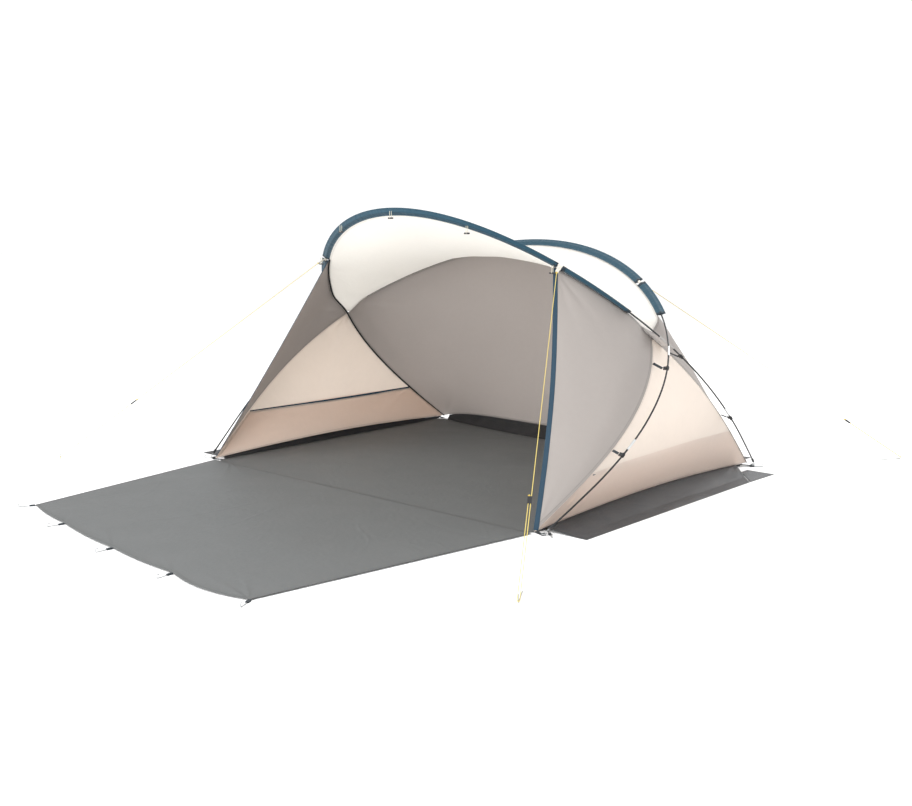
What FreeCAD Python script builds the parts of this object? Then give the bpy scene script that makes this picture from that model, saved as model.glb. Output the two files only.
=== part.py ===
import FreeCAD, Part
import math
import os

# Tarp shelter: a half-open beach shelter on two crossing bent poles.
# Millimetres, +Z up. The origin is on the ground, at the middle of the rectangle of the four
# pole feet. The open front faces -Y. The front arch stands on the two rear feet and leans
# forward, the rear arch stands on the two front feet and leans back.

V = FreeCAD.Vector
UP = V(0, 0, 1)

# ---------------------------------------------------------------- driving dimensions
FOOT_SPAN = 2300.0            # between the left and right pole feet
FOOT_DEPTH = 1875.0           # between the front and rear pole feet

FRONT_ARCH_HEIGHT = 1340.0    # top of the front arch above the ground
FRONT_ARCH_REACH = 1565.0     # how far its top stands forward of its feet
FRONT_ARCH_BEND = 0.719       # modulus of the bent-rod curve, 0 flat to 0.9 full
FRONT_ARCH_BELLY = 0.0755     # extra width half way up, as a share
FRONT_ARCH_BOW = 37.0         # how far the legs bow out of the arch's plane

REAR_ARCH_HEIGHT = 1176.0
REAR_ARCH_REACH = 1436.0
REAR_ARCH_BEND = 0.745
REAR_ARCH_BOW = 40.0

POLE_DIAMETER = 7.9
POLE_BORE = 4.2
POLE_SECTION = 592.0          # length of a pole section, counted from each foot
FERRULE_LENGTH = 62.0
FERRULE_WALL = 0.8
FERRULE_CLEARANCE = 0.35      # between the pole and the ferrule, on radius
SECTION_GAP = 1.0             # between two sections inside a ferrule
SHOCK_CORD = 2.4
POLE_CLEARANCE = 6.5          # between the two poles where they cross
CORD_END_GAP = 14.0           # from the end of a pole's rod in to the end of its elastic cord
POLE_FOOT_HEIGHT = 34.0       # the lowest end of the pole rod, above the ground

FERRULE_RADIUS = POLE_DIAMETER / 2 + FERRULE_CLEARANCE + FERRULE_WALL
LOOSE = 0.4                   # between a ferrule and what goes round it

TIP_DIAMETER = 12.0
TIP_LENGTH = 26.0
TIP_OVERLAP = 16.0            # how much of the tip is pushed over the pole
PIN_DIAMETER = 3.6
PIN_LENGTH = 44.0
PIN_IN_TIP = 20.0
RING_RADIUS = 12.0            # middle of the ring's wire
RING_WIRE = 3.4

SLEEVE_WIDTH = 44.0
SLEEVE_HEIGHT = 14.5
SLEEVE_DROOP = 55.0           # degrees the flat sleeve hangs down from the canopy's slope
SLEEVE_CLOTH = 0.8
GUY_POINT_FRONT = 903.0       # from the top of the front arch, along it
FRONT_SLEEVE_END = 1290.0
WING_POINT = 882.0            # the top corner of a wing, from the top of the front arch
GUY_POINT_REAR = 862.0
REAR_SLEEVE_END = 1165.0
SLEEVE_GAP = 24.0             # bare pole at a guy point

SLEEVE_SEAM = 1.4             # from a sleeve's edge to the panel that is sewn to it
CLOTH = 1.2                   # modelled thickness of a fabric panel
GROUND_CLOTH = 1.6            # modelled thickness of a ground sheet
CROSSING_INSET = 84.0         # from the crossing of the poles in to the crossing of the seams
CROSSING_RAISE = 14.0
CORNER_INSET = 42.0           # from a pole foot in to the corner of the fabric
CORNER_STEP = 12.0            # from a pole foot towards the middle of the depth
CORNER_LIFT = 12.0            # the corner of the fabric above the ground
ROOF_SAG = 120.0              # how deep the roof hangs between the arches, at the middle
BACK_BELLY = 60.0
SIDE_HEM_LIFT = 30.0
REAR_HEM_LIFT = 50.0
REAR_HEM_BOW = 70.0
WING_STEP = 2.5               # the wing's seam in front of and below the roof's
WING_BOW_OUT = 14.0           # how far the front edge of a wing curves out and back
WING_BOW_BACK = 25.0
BINDING = 9.0
POCKET_HEIGHT = 225.0
POCKET_GAP = 14.0
POCKET_BINDING = 7.0

FLOOR_SIDE_INSET = 52.0       # from the line of the pole feet in to the edge of the floor
FLOOR_FRONT_INSET = 10.0
FLOOR_REAR_INSET = 60.0
FLOOR_REAR_BOW = 130.0
FLOOR_CORNER_CUT = 120.0
SKIRT_WIDTH = 215.0
SKIRT_FRONT_GAP = 88.0        # from the front foot to the front end of the side skirts
SKIRT_REAR_GAP = 140.0
SKIRT_POINT = 250.0           # how much sooner a side skirt ends at its outer edge

PATIO_LENGTH = 1230.0
PATIO_FRONT_HALF = 896.0
PATIO_BACK_HALF = 1100.0
PATIO_SKEW = 80.0             # the right end of the front edge lies this much further out
PATIO_BOW = 60.0
PATIO_SCALLOP = 12.0          # how far the front edge curves out between two loops
PATIO_CORNER_SCALLOP = 40.0   # the same beside the right corner
LOOP_GAP = 2.6                # from the edge of the patio to a peg loop
PATIO_CLEARANCE = 6.0
PATIO_LIFT = 5.0              # the patio lies on its peg shafts

PEG_DIAMETER = 4.0
PEG_LENGTH = 140.0
PEG_HEAD = 48.0               # how much of a peg stands out past its loop
PEG_HOOK = 13.0
WEBBING_WIDTH = 20.0
WEBBING = 1.6

GUY_DIAMETER = 3.0
GUY_CLEARANCE = 0.45
GUY_LOOP_LENGTH = 46.0
KNOT = 8.0
RUNNER_LENGTH = 34.0
RUNNER_WIDTH = 17.0
RUNNER_HEIGHT = 7.0
PEG_NECK = 26.0

TOGGLE_LENGTH = 35.0
TOGGLE_DIAMETER = 8.0
TOGGLE_DROP = 34.0
TOGGLE_SPACING = 436.0

CLIP_LENGTH = 18.0
CLIP_WALL = 3.2
CLIP_CLEARANCE = 0.45
CLIP_LOW = 527.0              # from the pole foot, along the pole
CLIP_HIGH = 1071.0

# where the guy lines meet the ground
GUY_FEET = {
    "left": V(-1760, -1482, 0),
    "right": V(1603, -1643, 0),
    "rear": V(1665, 1624, 0),
}
RUNNER_SHARE = {"left": 0.715, "right": 0.75, "rear": 0.775}


# ---------------------------------------------------------------- small helpers
def unit(vector):
    return V(vector).normalize()


def lerp(start, end, share):
    return start + (end - start) * share


def smooth(value):
    """An ease from 0 to 1."""
    value = min(1.0, max(0.0, value))
    return value * value * (3 - 2 * value)


def mirrored(point):
    return V(-point.x, point.y, point.z)


def lerp_number(start, end, share):
    return start + (end - start) * share


def spread(start, end, count):
    return [start + (end - start) * i / (count - 1) for i in range(count)]


def square_to(vector, axis):
    """The part of a vector that is square to an axis, at unit length."""
    return unit(vector - axis * vector.dot(axis))


class Arch:
    """A pole bent between two feet, as a springy rod bends, and leaning out of the upright.

    The rod's curve is the elastica: across = integral of (1 - 2 k2 sin2) / sqrt(1 - k2 sin2),
    up = cos, over an angle from -90 to 90 degrees, with k the bend modulus.
    """

    STEPS = 720

    def __init__(self, height, reach, bend, belly, bow, foot_y, toward):
        rise = math.hypot(height, reach)
        lean = math.atan2(reach, height)
        step = math.pi / self.STEPS
        across = [0.0]
        for i in range(self.STEPS // 2):
            sine = math.sin((i + 0.5) * step)
            root = math.sqrt(1 - (bend * sine) ** 2)
            across.append(across[-1] + (1 - 2 * (bend * sine) ** 2) / root * step)
        half = []
        for i, out in enumerate(across):
            share = math.cos(i * step)
            width = out / across[-1] * FOOT_SPAN / 2
            width *= 1 + belly * math.sin(math.pi * share)
            bulge = 4 * bow * share * (1 - share)
            y = foot_y + toward * (math.sin(lean) * share * rise + math.cos(lean) * bulge)
            z = math.cos(lean) * share * rise - math.sin(lean) * bulge
            half.append(V(width, y, z))
        self.points = half
        self.reached = [0.0]
        for before, after in zip(half, half[1:]):
            self.reached.append(self.reached[-1] + (after - before).Length)
        self.half = self.reached[-1]

    def at(self, distance):
        """The point at a distance along the pole from its top, positive to the right."""
        reach = min(abs(distance), self.half)
        low = 0
        high = len(self.reached) - 1
        while high - low > 1:
            middle = (low + high) // 2
            if self.reached[middle] <= reach:
                low = middle
            else:
                high = middle
        share = (reach - self.reached[low]) / (self.reached[high] - self.reached[low])
        point = lerp(self.points[low], self.points[high], share)
        return point if distance >= 0 else mirrored(point)

    def tangent(self, distance):
        """The pole's direction, from left to right."""
        span = 4.0
        middle = min(max(distance, span - self.half), self.half - span)
        return unit(self.at(middle + span) - self.at(middle - span))


def crossing_distances(front, rear):
    """Where the two arches cross in the side view, as distances from each arch's top."""
    low = 0.0
    high = front.half
    for _ in range(60):
        middle = (low + high) / 2
        point = front.at(middle)
        if point.z > rear_height_at(rear, point.y):
            low = middle
        else:
            high = middle
    return low, rear_distance_at(rear, front.at(low).y)


def rear_distance_at(rear, y):
    low = 0.0
    high = rear.half
    for _ in range(60):
        middle = (low + high) / 2
        if rear.at(middle).y > y:
            low = middle
        else:
            high = middle
    return low


def rear_height_at(rear, y):
    return rear.at(rear_distance_at(rear, y)).z


# ---------------------------------------------------------------- solids
def sewn(faces):
    """One closed solid from faces that meet edge to edge."""
    shape = Part.makeCompound(faces)
    shape.sewShape(0.01)
    solid = Part.Solid(shape.Shells[0])
    if solid.Volume < 0:
        solid.reverse()
    return solid


def surface_through(grid):
    surface = Part.BSplineSurface()
    surface.interpolate(grid)
    return surface


def sheet(rows, thickness):
    """A sheet of cloth through rows of points, as a thin closed solid."""
    row_count = len(rows)
    column_count = len(rows[0])
    above = []
    below = []
    for i in range(row_count):
        above.append([])
        below.append([])
        for j in range(column_count):
            along = rows[i][min(j + 1, column_count - 1)] - rows[i][max(j - 1, 0)]
            across = rows[min(i + 1, row_count - 1)][j] - rows[max(i - 1, 0)][j]
            normal = unit(along.cross(across)) * (thickness / 2)
            above[i].append(rows[i][j] + normal)
            below[i].append(rows[i][j] - normal)
    top = surface_through(above)
    bottom = surface_through(below)
    u0, u1, v0, v1 = top.bounds()
    s0, s1, t0, t1 = bottom.bounds()
    faces = [top.toShape(), bottom.toShape()]
    pairs = [
        (top.uIso(u0), bottom.uIso(s0)),
        (top.uIso(u1), bottom.uIso(s1)),
        (top.vIso(v0), bottom.vIso(t0)),
        (top.vIso(v1), bottom.vIso(t1)),
    ]
    for first, second in pairs:
        faces.append(Part.makeRuledSurface(first.toShape(), second.toShape()))
    return sewn(faces)


def plate(outline, z, thickness):
    """A flat sheet on the ground, from an outline of straight edges."""
    points = [V(p.x, p.y, z) for p in outline]
    return Part.Face(Part.makePolygon(points + [points[0]])).extrude(UP * thickness)


def disc(centre, axis, radius):
    return Part.Wire(Part.makeCircle(radius, centre, axis))


def rod(start, end, radius, bore=0.0):
    length = (end - start).Length
    axis = unit(end - start)
    solid = Part.makeCylinder(radius, length, start, axis)
    if bore:
        solid = solid.cut(Part.makeCylinder(bore, length, start, axis))
    return solid


def arc_from(start, direction, end):
    """The arc that leaves start in a direction and ends at end."""
    chord = end - start
    cosine = unit(chord).dot(direction)
    if cosine > 1 - 1e-9:
        return Part.LineSegment(start, end).toShape()
    corner = start + direction * (chord.Length / 2 / cosine)
    middle = (start + end + corner * (2 * cosine)) * (1 / (2 + 2 * cosine))
    return Part.Arc(start, middle, end).toShape()


def bent_path(arch, start, end, pieces):
    """A smooth path along an arch: pairs of arcs that meet in one direction."""
    edges = []
    stops = spread(start, end, pieces + 1)
    for before, after in zip(stops, stops[1:]):
        p0 = arch.at(before)
        p1 = arch.at(after)
        t0 = arch.tangent(before)
        t1 = arch.tangent(after)
        chord = p1 - p0
        both = t0 + t1
        spare = 2 * (1 - t0.dot(t1))
        root = math.sqrt(chord.dot(both) ** 2 + spare * chord.dot(chord))
        reach = (root - chord.dot(both)) / spare
        q0 = p0 + t0 * reach
        q1 = p1 - t1 * reach
        joint = (q0 + q1) * 0.5
        edges.append(arc_from(p0, t0, joint))
        edges.append(arc_from(joint, unit(joint - q0), p1))
    return Part.Wire(edges)


def swept(path, radius, start, direction):
    return path.makePipeShell([disc(start, direction, radius)], True, False)


def tube_along(arch, start, end, radius, bore, pieces=1):
    path = bent_path(arch, start, end, pieces)
    first = arch.at(start)
    direction = arch.tangent(start)
    solid = swept(path, radius, first, direction)
    if bore:
        solid = solid.cut(swept(path, bore, first, direction))
    return solid


def save(name, solids):
    """Write one named piece, or one group of like pieces."""
    solids = solids if isinstance(solids, list) else [solids]
    shape = solids[0] if len(solids) == 1 else Part.makeCompound(solids)
    for solid in shape.Solids:
        if not solid.isValid() or solid.Volume <= 0:
            print("BAD SOLID", name, solid.isValid(), solid.Volume)
    shape.exportStep("parts/" + name + ".step")


def mirrored_shape(shape):
    return shape.mirror(V(0, 0, 0), V(1, 0, 0))


def save_pair(name, solid):
    """The piece as made stands on the right, and its mirror image on the left."""
    save("right_" + name, solid)
    save("left_" + name, mirrored_shape(solid))


# ---------------------------------------------------------------- the frame's geometry
FRONT_Y = -FOOT_DEPTH / 2
REAR_Y = FOOT_DEPTH / 2
FOOT_X = FOOT_SPAN / 2

front_arch = Arch(FRONT_ARCH_HEIGHT, FRONT_ARCH_REACH, FRONT_ARCH_BEND, FRONT_ARCH_BELLY,
                  FRONT_ARCH_BOW, REAR_Y, -1)
plain_rear = Arch(REAR_ARCH_HEIGHT, REAR_ARCH_REACH, REAR_ARCH_BEND, 0.0,
                  REAR_ARCH_BOW, FRONT_Y, 1)
front_cross, rear_cross = crossing_distances(front_arch, plain_rear)
# the rear pole passes just outside the front pole: its width grows evenly with its belly
cross_point = front_arch.at(front_cross)
cross_x = cross_point.x + POLE_DIAMETER + POLE_CLEARANCE
plain_x = plain_rear.at(rear_cross).x
trial_rear = Arch(REAR_ARCH_HEIGHT, REAR_ARCH_REACH, REAR_ARCH_BEND, FRONT_ARCH_BELLY,
                  REAR_ARCH_BOW, FRONT_Y, 1)
trial_x = trial_rear.at(rear_distance_at(trial_rear, cross_point.y)).x
rear_belly = FRONT_ARCH_BELLY * (cross_x - plain_x) / (trial_x - plain_x)
rear_arch = Arch(REAR_ARCH_HEIGHT, REAR_ARCH_REACH, REAR_ARCH_BEND, rear_belly,
                 REAR_ARCH_BOW, FRONT_Y, 1)
rear_cross = rear_distance_at(rear_arch, cross_point.y)

SEAM_CROSS = (front_arch.at(front_cross) + rear_arch.at(rear_cross)) * 0.5
SEAM_CROSS = SEAM_CROSS + V(-CROSSING_INSET, 0, CROSSING_RAISE)
FRONT_CORNER = V(FOOT_X - CORNER_INSET, FRONT_Y + CORNER_STEP, CORNER_LIFT)
REAR_CORNER = V(FOOT_X - CORNER_INSET, REAR_Y - CORNER_STEP, CORNER_LIFT)


def outward(distance, arch):
    """Outward from the canopy at a place on an arch, square to the pole."""
    point = arch.at(distance)
    share = min(1.0, abs(point.x) / (FOOT_SPAN / 2))
    lift = math.sqrt(1 - 0.92 * share * share)
    side = share if point.x >= 0 else -share
    return square_to(V(side, 0.08, lift), arch.tangent(distance))


def droop(distance, arch):
    """The way in which a sleeve's flat side hangs from its pole, towards the canopy."""
    normal = outward(distance, arch)
    roofward = arch.tangent(distance).cross(normal) * (1 if arch is rear_arch else -1)
    angle = math.radians(SLEEVE_DROOP)
    return unit(roofward * math.cos(angle) - normal * math.sin(angle))


def seam_beside(arch, cross, sleeve_end, distance):
    """The fabric's line beside an arch: at its sleeve's edge, then drawing in."""
    share = smooth((abs(distance) - sleeve_end) / (cross - sleeve_end))
    hang = droop(abs(distance), arch) * (SLEEVE_WIDTH / 2 + SLEEVE_SEAM)
    point = arch.at(abs(distance)) + hang * (1 - share)
    point = point + (SEAM_CROSS - arch.at(cross)) * share
    return point if distance >= 0 else mirrored(point)


def leg_seam(arch, cross, corner, share):
    """The fabric's line beside a bare leg, from the crossing (0) to a corner (1)."""
    distance = cross + (arch.half - cross) * share
    start = SEAM_CROSS - arch.at(cross)
    end = corner - arch.at(arch.half)
    return arch.at(distance) + lerp(start, end, share)


# ---------------------------------------------------------------- poles
def pole_stops(arch):
    """Where the sections of a pole meet, with its two lower ends."""
    end = arch.half
    while arch.at(end).z < POLE_FOOT_HEIGHT:
        end -= 1.0
    stops = [end]
    joint = arch.half - POLE_SECTION
    while joint > POLE_SECTION / 3:
        stops.append(joint)
        joint -= POLE_SECTION
    return [-stop for stop in stops] + stops[::-1]


def pole_sections(arch):
    stops = pole_stops(arch)
    sections = []
    for before, after in zip(stops, stops[1:]):
        start = before if before == stops[0] else before + SECTION_GAP / 2
        end = after if after == stops[-1] else after - SECTION_GAP / 2
        sections.append(tube_along(arch, start, end, POLE_DIAMETER / 2, POLE_BORE / 2))
    return sections


def pole_ferrules(arch):
    bore = FERRULE_RADIUS - FERRULE_WALL
    ferrules = []
    for stop in pole_stops(arch)[1:-1]:
        start = arch.at(stop - FERRULE_LENGTH / 2)
        end = arch.at(stop + FERRULE_LENGTH / 2)
        shift = (arch.at(stop) - (start + end) * 0.5) * 0.5
        ferrules.append(rod(start + shift, end + shift, FERRULE_RADIUS, bore))
    return ferrules


def shock_cord(arch):
    stops = pole_stops(arch)
    pieces = len(stops) - 1
    return tube_along(arch, stops[0] + CORD_END_GAP, stops[-1] - CORD_END_GAP,
                      SHOCK_CORD / 2, 0, pieces)


def pole_end(arch):
    """The right-hand lower end of a pole: its end point and the way down from it."""
    end = pole_stops(arch)[-1]
    return arch.at(end), arch.tangent(end)


def pole_tip(arch):
    end, down = pole_end(arch)
    top = end - down * TIP_OVERLAP
    tip = rod(top, top + down * TIP_LENGTH, TIP_DIAMETER / 2)
    socket = Part.makeCylinder(POLE_DIAMETER / 2 + 0.05, TIP_OVERLAP, top, down)
    pin_hole = Part.makeCylinder(PIN_DIAMETER / 2 + 0.1, TIP_LENGTH + 2, top, down)
    return tip.cut(socket).cut(pin_hole)


def corner_pin(arch):
    """A steel pin that stands in the pole's end, with an eye below."""
    end, down = pole_end(arch)
    top = end + down * (TIP_LENGTH - TIP_OVERLAP - PIN_IN_TIP)
    foot = top + down * (PIN_LENGTH - 8)
    return rod(top, foot, PIN_DIAMETER / 2), foot, down


def save_poles():
    for name, arch in (("front_pole", front_arch), ("rear_pole", rear_arch)):
        save(name, pole_sections(arch))
    arches = (front_arch, rear_arch)
    save("pole_ferrules", [f for arch in arches for f in pole_ferrules(arch)])
    save("pole_shock_cords", [shock_cord(arch) for arch in arches])


# ---------------------------------------------------------------- sleeves and fabric panels
def sleeve(arch, start, end, stations):
    """A flattened cloth tube round a stretch of pole."""
    outer = []
    inner = []
    for distance in spread(start, end, stations):
        centre = arch.at(distance)
        across = droop(distance, arch)
        normal = unit(across.cross(arch.tangent(distance)))
        for wires, skin in ((outer, 0.0), (inner, SLEEVE_CLOTH)):
            wide = centre + across * (SLEEVE_WIDTH / 2 - skin)
            high = centre + normal * (SLEEVE_HEIGHT / 2 - skin)
            wires.append(Part.Wire(Part.Ellipse(wide, high, centre).toShape()))
    return Part.makeLoft(outer, True, True).cut(Part.makeLoft(inner, True, True))


def trimmed(rows, gap=1.0):
    """The same rows with every border drawn in a little, to leave room for the seam."""
    moved = [[V(p) for p in row] for row in rows]
    for j in range(len(rows[0])):
        moved[0][j] = rows[0][j] + unit(rows[1][j] - rows[0][j]) * gap
        moved[-1][j] = rows[-1][j] + unit(rows[-2][j] - rows[-1][j]) * gap
    for row, done in zip(rows, moved):
        done[0] = done[0] + unit(row[1] - row[0]) * gap
        done[-1] = done[-1] + unit(row[-2] - row[-1]) * gap
    return moved


def patch(top, bottom, left, right):
    """Rows of points that fill four border curves, each a list that meets the next."""
    rows = []
    for i, (west, east) in enumerate(zip(left, right)):
        down = i / (len(left) - 1)
        row = []
        for j, (north, south) in enumerate(zip(top, bottom)):
            over = j / (len(top) - 1)
            ruled = lerp(north, south, down) + lerp(west, east, over)
            corners = lerp(lerp(top[0], top[-1], over), lerp(bottom[0], bottom[-1], over), down)
            row.append(ruled - corners)
        rows.append(row)
    return rows


def bulged(rows, direction, amount):
    """Rows pushed out in the middle, with the borders left where they are."""
    pushed = []
    for i, row in enumerate(rows):
        tall = math.sin(math.pi * i / (len(rows) - 1))
        line = []
        for j, point in enumerate(row):
            wide = math.sin(math.pi * j / (len(row) - 1))
            line.append(point + direction * (amount * tall * wide))
        pushed.append(line)
    return pushed


LENS_END = 0.960              # the roof stops this far out, and the gusset closes its point


def roof_front(share):
    return seam_beside(front_arch, front_cross, FRONT_SLEEVE_END, share * front_cross)


def roof_rear(share):
    return seam_beside(rear_arch, rear_cross, REAR_SLEEVE_END, share * rear_cross)


def roof_line(share, along):
    """A point of the roof on its line from the front sleeve (0) to the rear sleeve (1).

    Between the arches the cloth hangs like a saddle: its sag grows with the square of the gap.
    """
    front = roof_front(share)
    rear = roof_rear(share)
    depth = (rear - front).Length / ROOF_DEPTH
    sag = ROOF_SAG * depth * depth * 4 * along * (1 - along)
    return lerp(front, rear, along) - outward(share * front_cross, front_arch) * sag


ROOF_DEPTH = (roof_rear(0) - roof_front(0)).Length


def roof_panel():
    rows = []
    for along in spread(0, 1, 6):
        rows.append([roof_line(s, along) for s in spread(-LENS_END, LENS_END, 21)])
    return sheet(trimmed(rows), CLOTH)


def side_hem(share):
    """The lower edge of a side panel, from the front corner (0) to the rear corner (1)."""
    return lerp(FRONT_CORNER, REAR_CORNER, share) + UP * (SIDE_HEM_LIFT * math.sin(math.pi * share))


def rear_hem(share):
    """The lower edge of the back panel, from its left end (-1) to its right end (1)."""
    half = REAR_CORNER.x
    bow = (1 - share * share)
    lift = REAR_HEM_LIFT * (1 - share ** 6)
    return V(half * share, REAR_CORNER.y - REAR_HEM_BOW * bow, CORNER_LIFT + lift)


def back_panel():
    shares = spread(0, 1, 9)
    right = [leg_seam(front_arch, front_cross, REAR_CORNER, s) for s in shares]
    left = [mirrored(p) for p in right]
    top = [roof_rear(s) for s in spread(-1, 1, 19)]
    bottom = [rear_hem(s) for s in spread(-1, 1, 19)]
    top[0], top[-1] = left[0], right[0]
    rows = patch(top, bottom, left, right)
    return sheet(trimmed(bulged(rows, V(0, 0.8, 0.35), BACK_BELLY)), CLOTH)


def wing_top(distance):
    """The wing's line along the front sleeve, just in front of the roof's."""
    seam = seam_beside(front_arch, front_cross, FRONT_SLEEVE_END, distance)
    free = (front_cross - distance) / (front_cross - WING_POINT)
    return seam + V(0, -WING_STEP, -WING_STEP) * free


def wing_edge(share):
    """The free front edge of the right wing, from the front sleeve (0) to the corner (1)."""
    top = wing_top(WING_POINT)
    foot = FRONT_CORNER
    curve = math.sin(math.pi * share)
    return lerp(top, foot, share) + V(WING_BOW_OUT, WING_BOW_BACK, 0) * curve


def wing_panel():
    shares = spread(0, 0.985, 9)
    seam = [leg_seam(rear_arch, rear_cross, FRONT_CORNER, s) for s in shares]
    edge = [wing_edge(s) for s in shares]
    top = [wing_top(distance) for distance in spread(WING_POINT, front_cross, 8)]
    bottom = [lerp(edge[-1], seam[-1], share) for share in spread(0, 1, 8)]
    return sheet(trimmed(patch(top, bottom, edge, seam)), CLOTH)


def wing_binding():
    """The folded tape along the wing's free edge."""
    points = [wing_edge(s) + V(0, -BINDING / 2 - 0.3, 0) for s in spread(0.03, 0.97, 7)]
    rows = []
    for offset in (-1, 0, 1):
        rows.append([p + V(0.25, -1, 0.2) * (offset * BINDING / 2) for p in points])
    return sheet(rows, 2 * CLOTH)


def side_rows(inside, first, last, rows_count, columns):
    """Rows of the right side panel between two heights, given as shares of the legs."""
    rows = []
    for down in spread(first, last, rows_count):
        front = leg_seam(rear_arch, rear_cross, FRONT_CORNER, down)
        rear = leg_seam(front_arch, front_cross, REAR_CORNER, down)
        row = []
        for over in spread(0, 1, columns):
            sag = side_hem(over) - lerp(FRONT_CORNER, REAR_CORNER, over)
            point = lerp(front, rear, over) + sag * down ** 3
            row.append(point - V(inside * math.sin(math.pi * over), 0, 0))
        rows.append(row)
    return rows


def side_panel():
    return sheet(trimmed(side_rows(0, 0.03, 1, 8, 9)), CLOTH)


def pocket_share():
    """How far down the legs the pocket's mouth is."""
    low = 0.0
    high = 1.0
    for _ in range(40):
        middle = (low + high) / 2
        if leg_seam(rear_arch, rear_cross, FRONT_CORNER, middle).z > POCKET_HEIGHT:
            low = middle
        else:
            high = middle
    return low


def pocket_panel():
    rows = side_rows(POCKET_GAP, pocket_share(), 1, 4, 9)
    rows = [[p - V(CLOTH + 1.5, 0, 0) for p in row] for row in rows]
    return sheet(trimmed(rows, 6.0), CLOTH)


def pocket_binding():
    share = pocket_share()
    points = side_rows(POCKET_GAP, share, 1, 2, 9)[0][1:-1]
    rows = []
    for offset in (-1, 1):
        rows.append([p + V(-CLOTH - 4.2, 0, offset * POCKET_BINDING / 2) for p in points])
    return sheet(rows, CLOTH)


def crossing_gusset():
    """The cloth web and tube that tie both poles to the crossing of the seams."""
    seam = [roof_front(0.93), SEAM_CROSS,
            leg_seam(front_arch, front_cross, REAR_CORNER, 0.06)]
    pole = [front_arch.at(front_cross + step) for step in (-40, 6, 52)]
    bore = FERRULE_RADIUS + LOOSE
    reach = bore + CLOTH + 1.2
    edge = [p + unit(s - p) * reach for p, s in zip(pole, seam)]
    seam = [s + unit(p - s) * 6.0 for p, s in zip(pole, seam)]
    middle = [lerp(s, p, 0.5) for s, p in zip(seam, edge)]
    web = sheet([seam, middle, edge], CLOTH)
    tube = tube_along(front_arch, front_cross - 42, front_cross + 54,
                      bore + CLOTH, bore)
    return [web, tube]


def save_sleeves():
    half_gap = SLEEVE_GAP / 2
    plans = (
        ("front_sleeve", front_arch, GUY_POINT_FRONT, FRONT_SLEEVE_END, 45, 13),
        ("rear_sleeve", rear_arch, GUY_POINT_REAR, REAR_SLEEVE_END, 45, 13),
    )
    tails = []
    for name, arch, guy_point, end, many, few in plans:
        save(name, sleeve(arch, half_gap - guy_point, guy_point - half_gap, many))
        tail = sleeve(arch, guy_point + half_gap, end, few)
        tails.extend([tail, mirrored_shape(tail)])
    save("sleeve_ends", tails)


def save_panels():
    save("roof_panel", roof_panel())
    save("back_panel", back_panel())
    save_pair("wing", wing_panel())
    save_pair("wing_binding", wing_binding())
    save_pair("side_panel", side_panel())
    save_pair("pocket", pocket_panel())
    binding = pocket_binding()
    save("pocket_bindings", [binding, mirrored_shape(binding)])
    gusset = crossing_gusset()
    save("crossing_gussets", gusset + [mirrored_shape(s) for s in gusset])


# ---------------------------------------------------------------- floor, walls, skirts, patio
FLOOR_HALF = FOOT_X - FLOOR_SIDE_INSET
FLOOR_FRONT = FRONT_Y + FLOOR_FRONT_INSET
FLOOR_REAR = REAR_Y - FLOOR_REAR_INSET


def floor_rear_edge(share):
    """The floor's curved rear edge, from left (-1) to right (1)."""
    half = FLOOR_HALF - FLOOR_CORNER_CUT
    return V(half * share, FLOOR_REAR - FLOOR_REAR_BOW * (1 - share * share), 0)


def groundsheet():
    cut = FLOOR_CORNER_CUT
    right = [V(FLOOR_HALF - cut, FLOOR_FRONT, 0), V(FLOOR_HALF, FLOOR_FRONT + cut, 0),
             V(FLOOR_HALF, FLOOR_REAR - cut, 0)]
    rear = [floor_rear_edge(s) for s in spread(1, -1, 9)]
    outline = right + rear + [mirrored(p) for p in right[::-1]]
    return plate(outline, 0, GROUND_CLOTH)


def side_wall():
    """The strip from the floor's side edge up to the hem of the side panel."""
    shares = spread(0.12, 0.88, 7)
    low = [V(FLOOR_HALF + 1.5, lerp(FRONT_CORNER, REAR_CORNER, s).y, 1.2) for s in shares]
    high = [side_hem(s) - UP * 2 for s in shares]
    middle = [lerp(a, b, 0.5) for a, b in zip(low, high)]
    return sheet([low, middle, high], CLOTH)


def rear_wall():
    shares = spread(-0.9, 0.9, 11)
    half = FLOOR_HALF - FLOOR_CORNER_CUT
    low = []
    for s in shares:
        edge = floor_rear_edge(s * FLOOR_HALF / half * 0.98)
        low.append(V(edge.x, edge.y + 3.0, 1.2))
    high = [rear_hem(s) - UP * 2 for s in shares]
    middle = [lerp(a, b, 0.5) for a, b in zip(low, high)]
    return sheet([low, middle, high], CLOTH)


def skirt_end(out):
    """Where the side skirt ends towards the rear: square at the wall, drawn in outside."""
    return REAR_Y - lerp_number(SKIRT_REAR_GAP, SKIRT_REAR_GAP + SKIRT_POINT, out)


def side_skirt():
    """The flap outside a side wall, from the hem down to the ground."""
    front = FRONT_Y + SKIRT_FRONT_GAP
    rows = []
    for out in (0.0, 0.3, 0.65, 1.0):
        row = []
        for y in spread(front, skirt_end(out), 9):
            share = (y - FRONT_CORNER.y) / (REAR_CORNER.y - FRONT_CORNER.y)
            top = side_hem(share) + V(2.5, 0, -1.5)
            outer = V(FOOT_X - CORNER_INSET + SKIRT_WIDTH, y, CLOTH / 2)
            point = lerp(top, outer, out)
            row.append(V(point.x, point.y, lerp(top, outer, min(1.0, out * 1.5)).z))
        rows.append(row)
    return sheet(rows, CLOTH)


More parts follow.
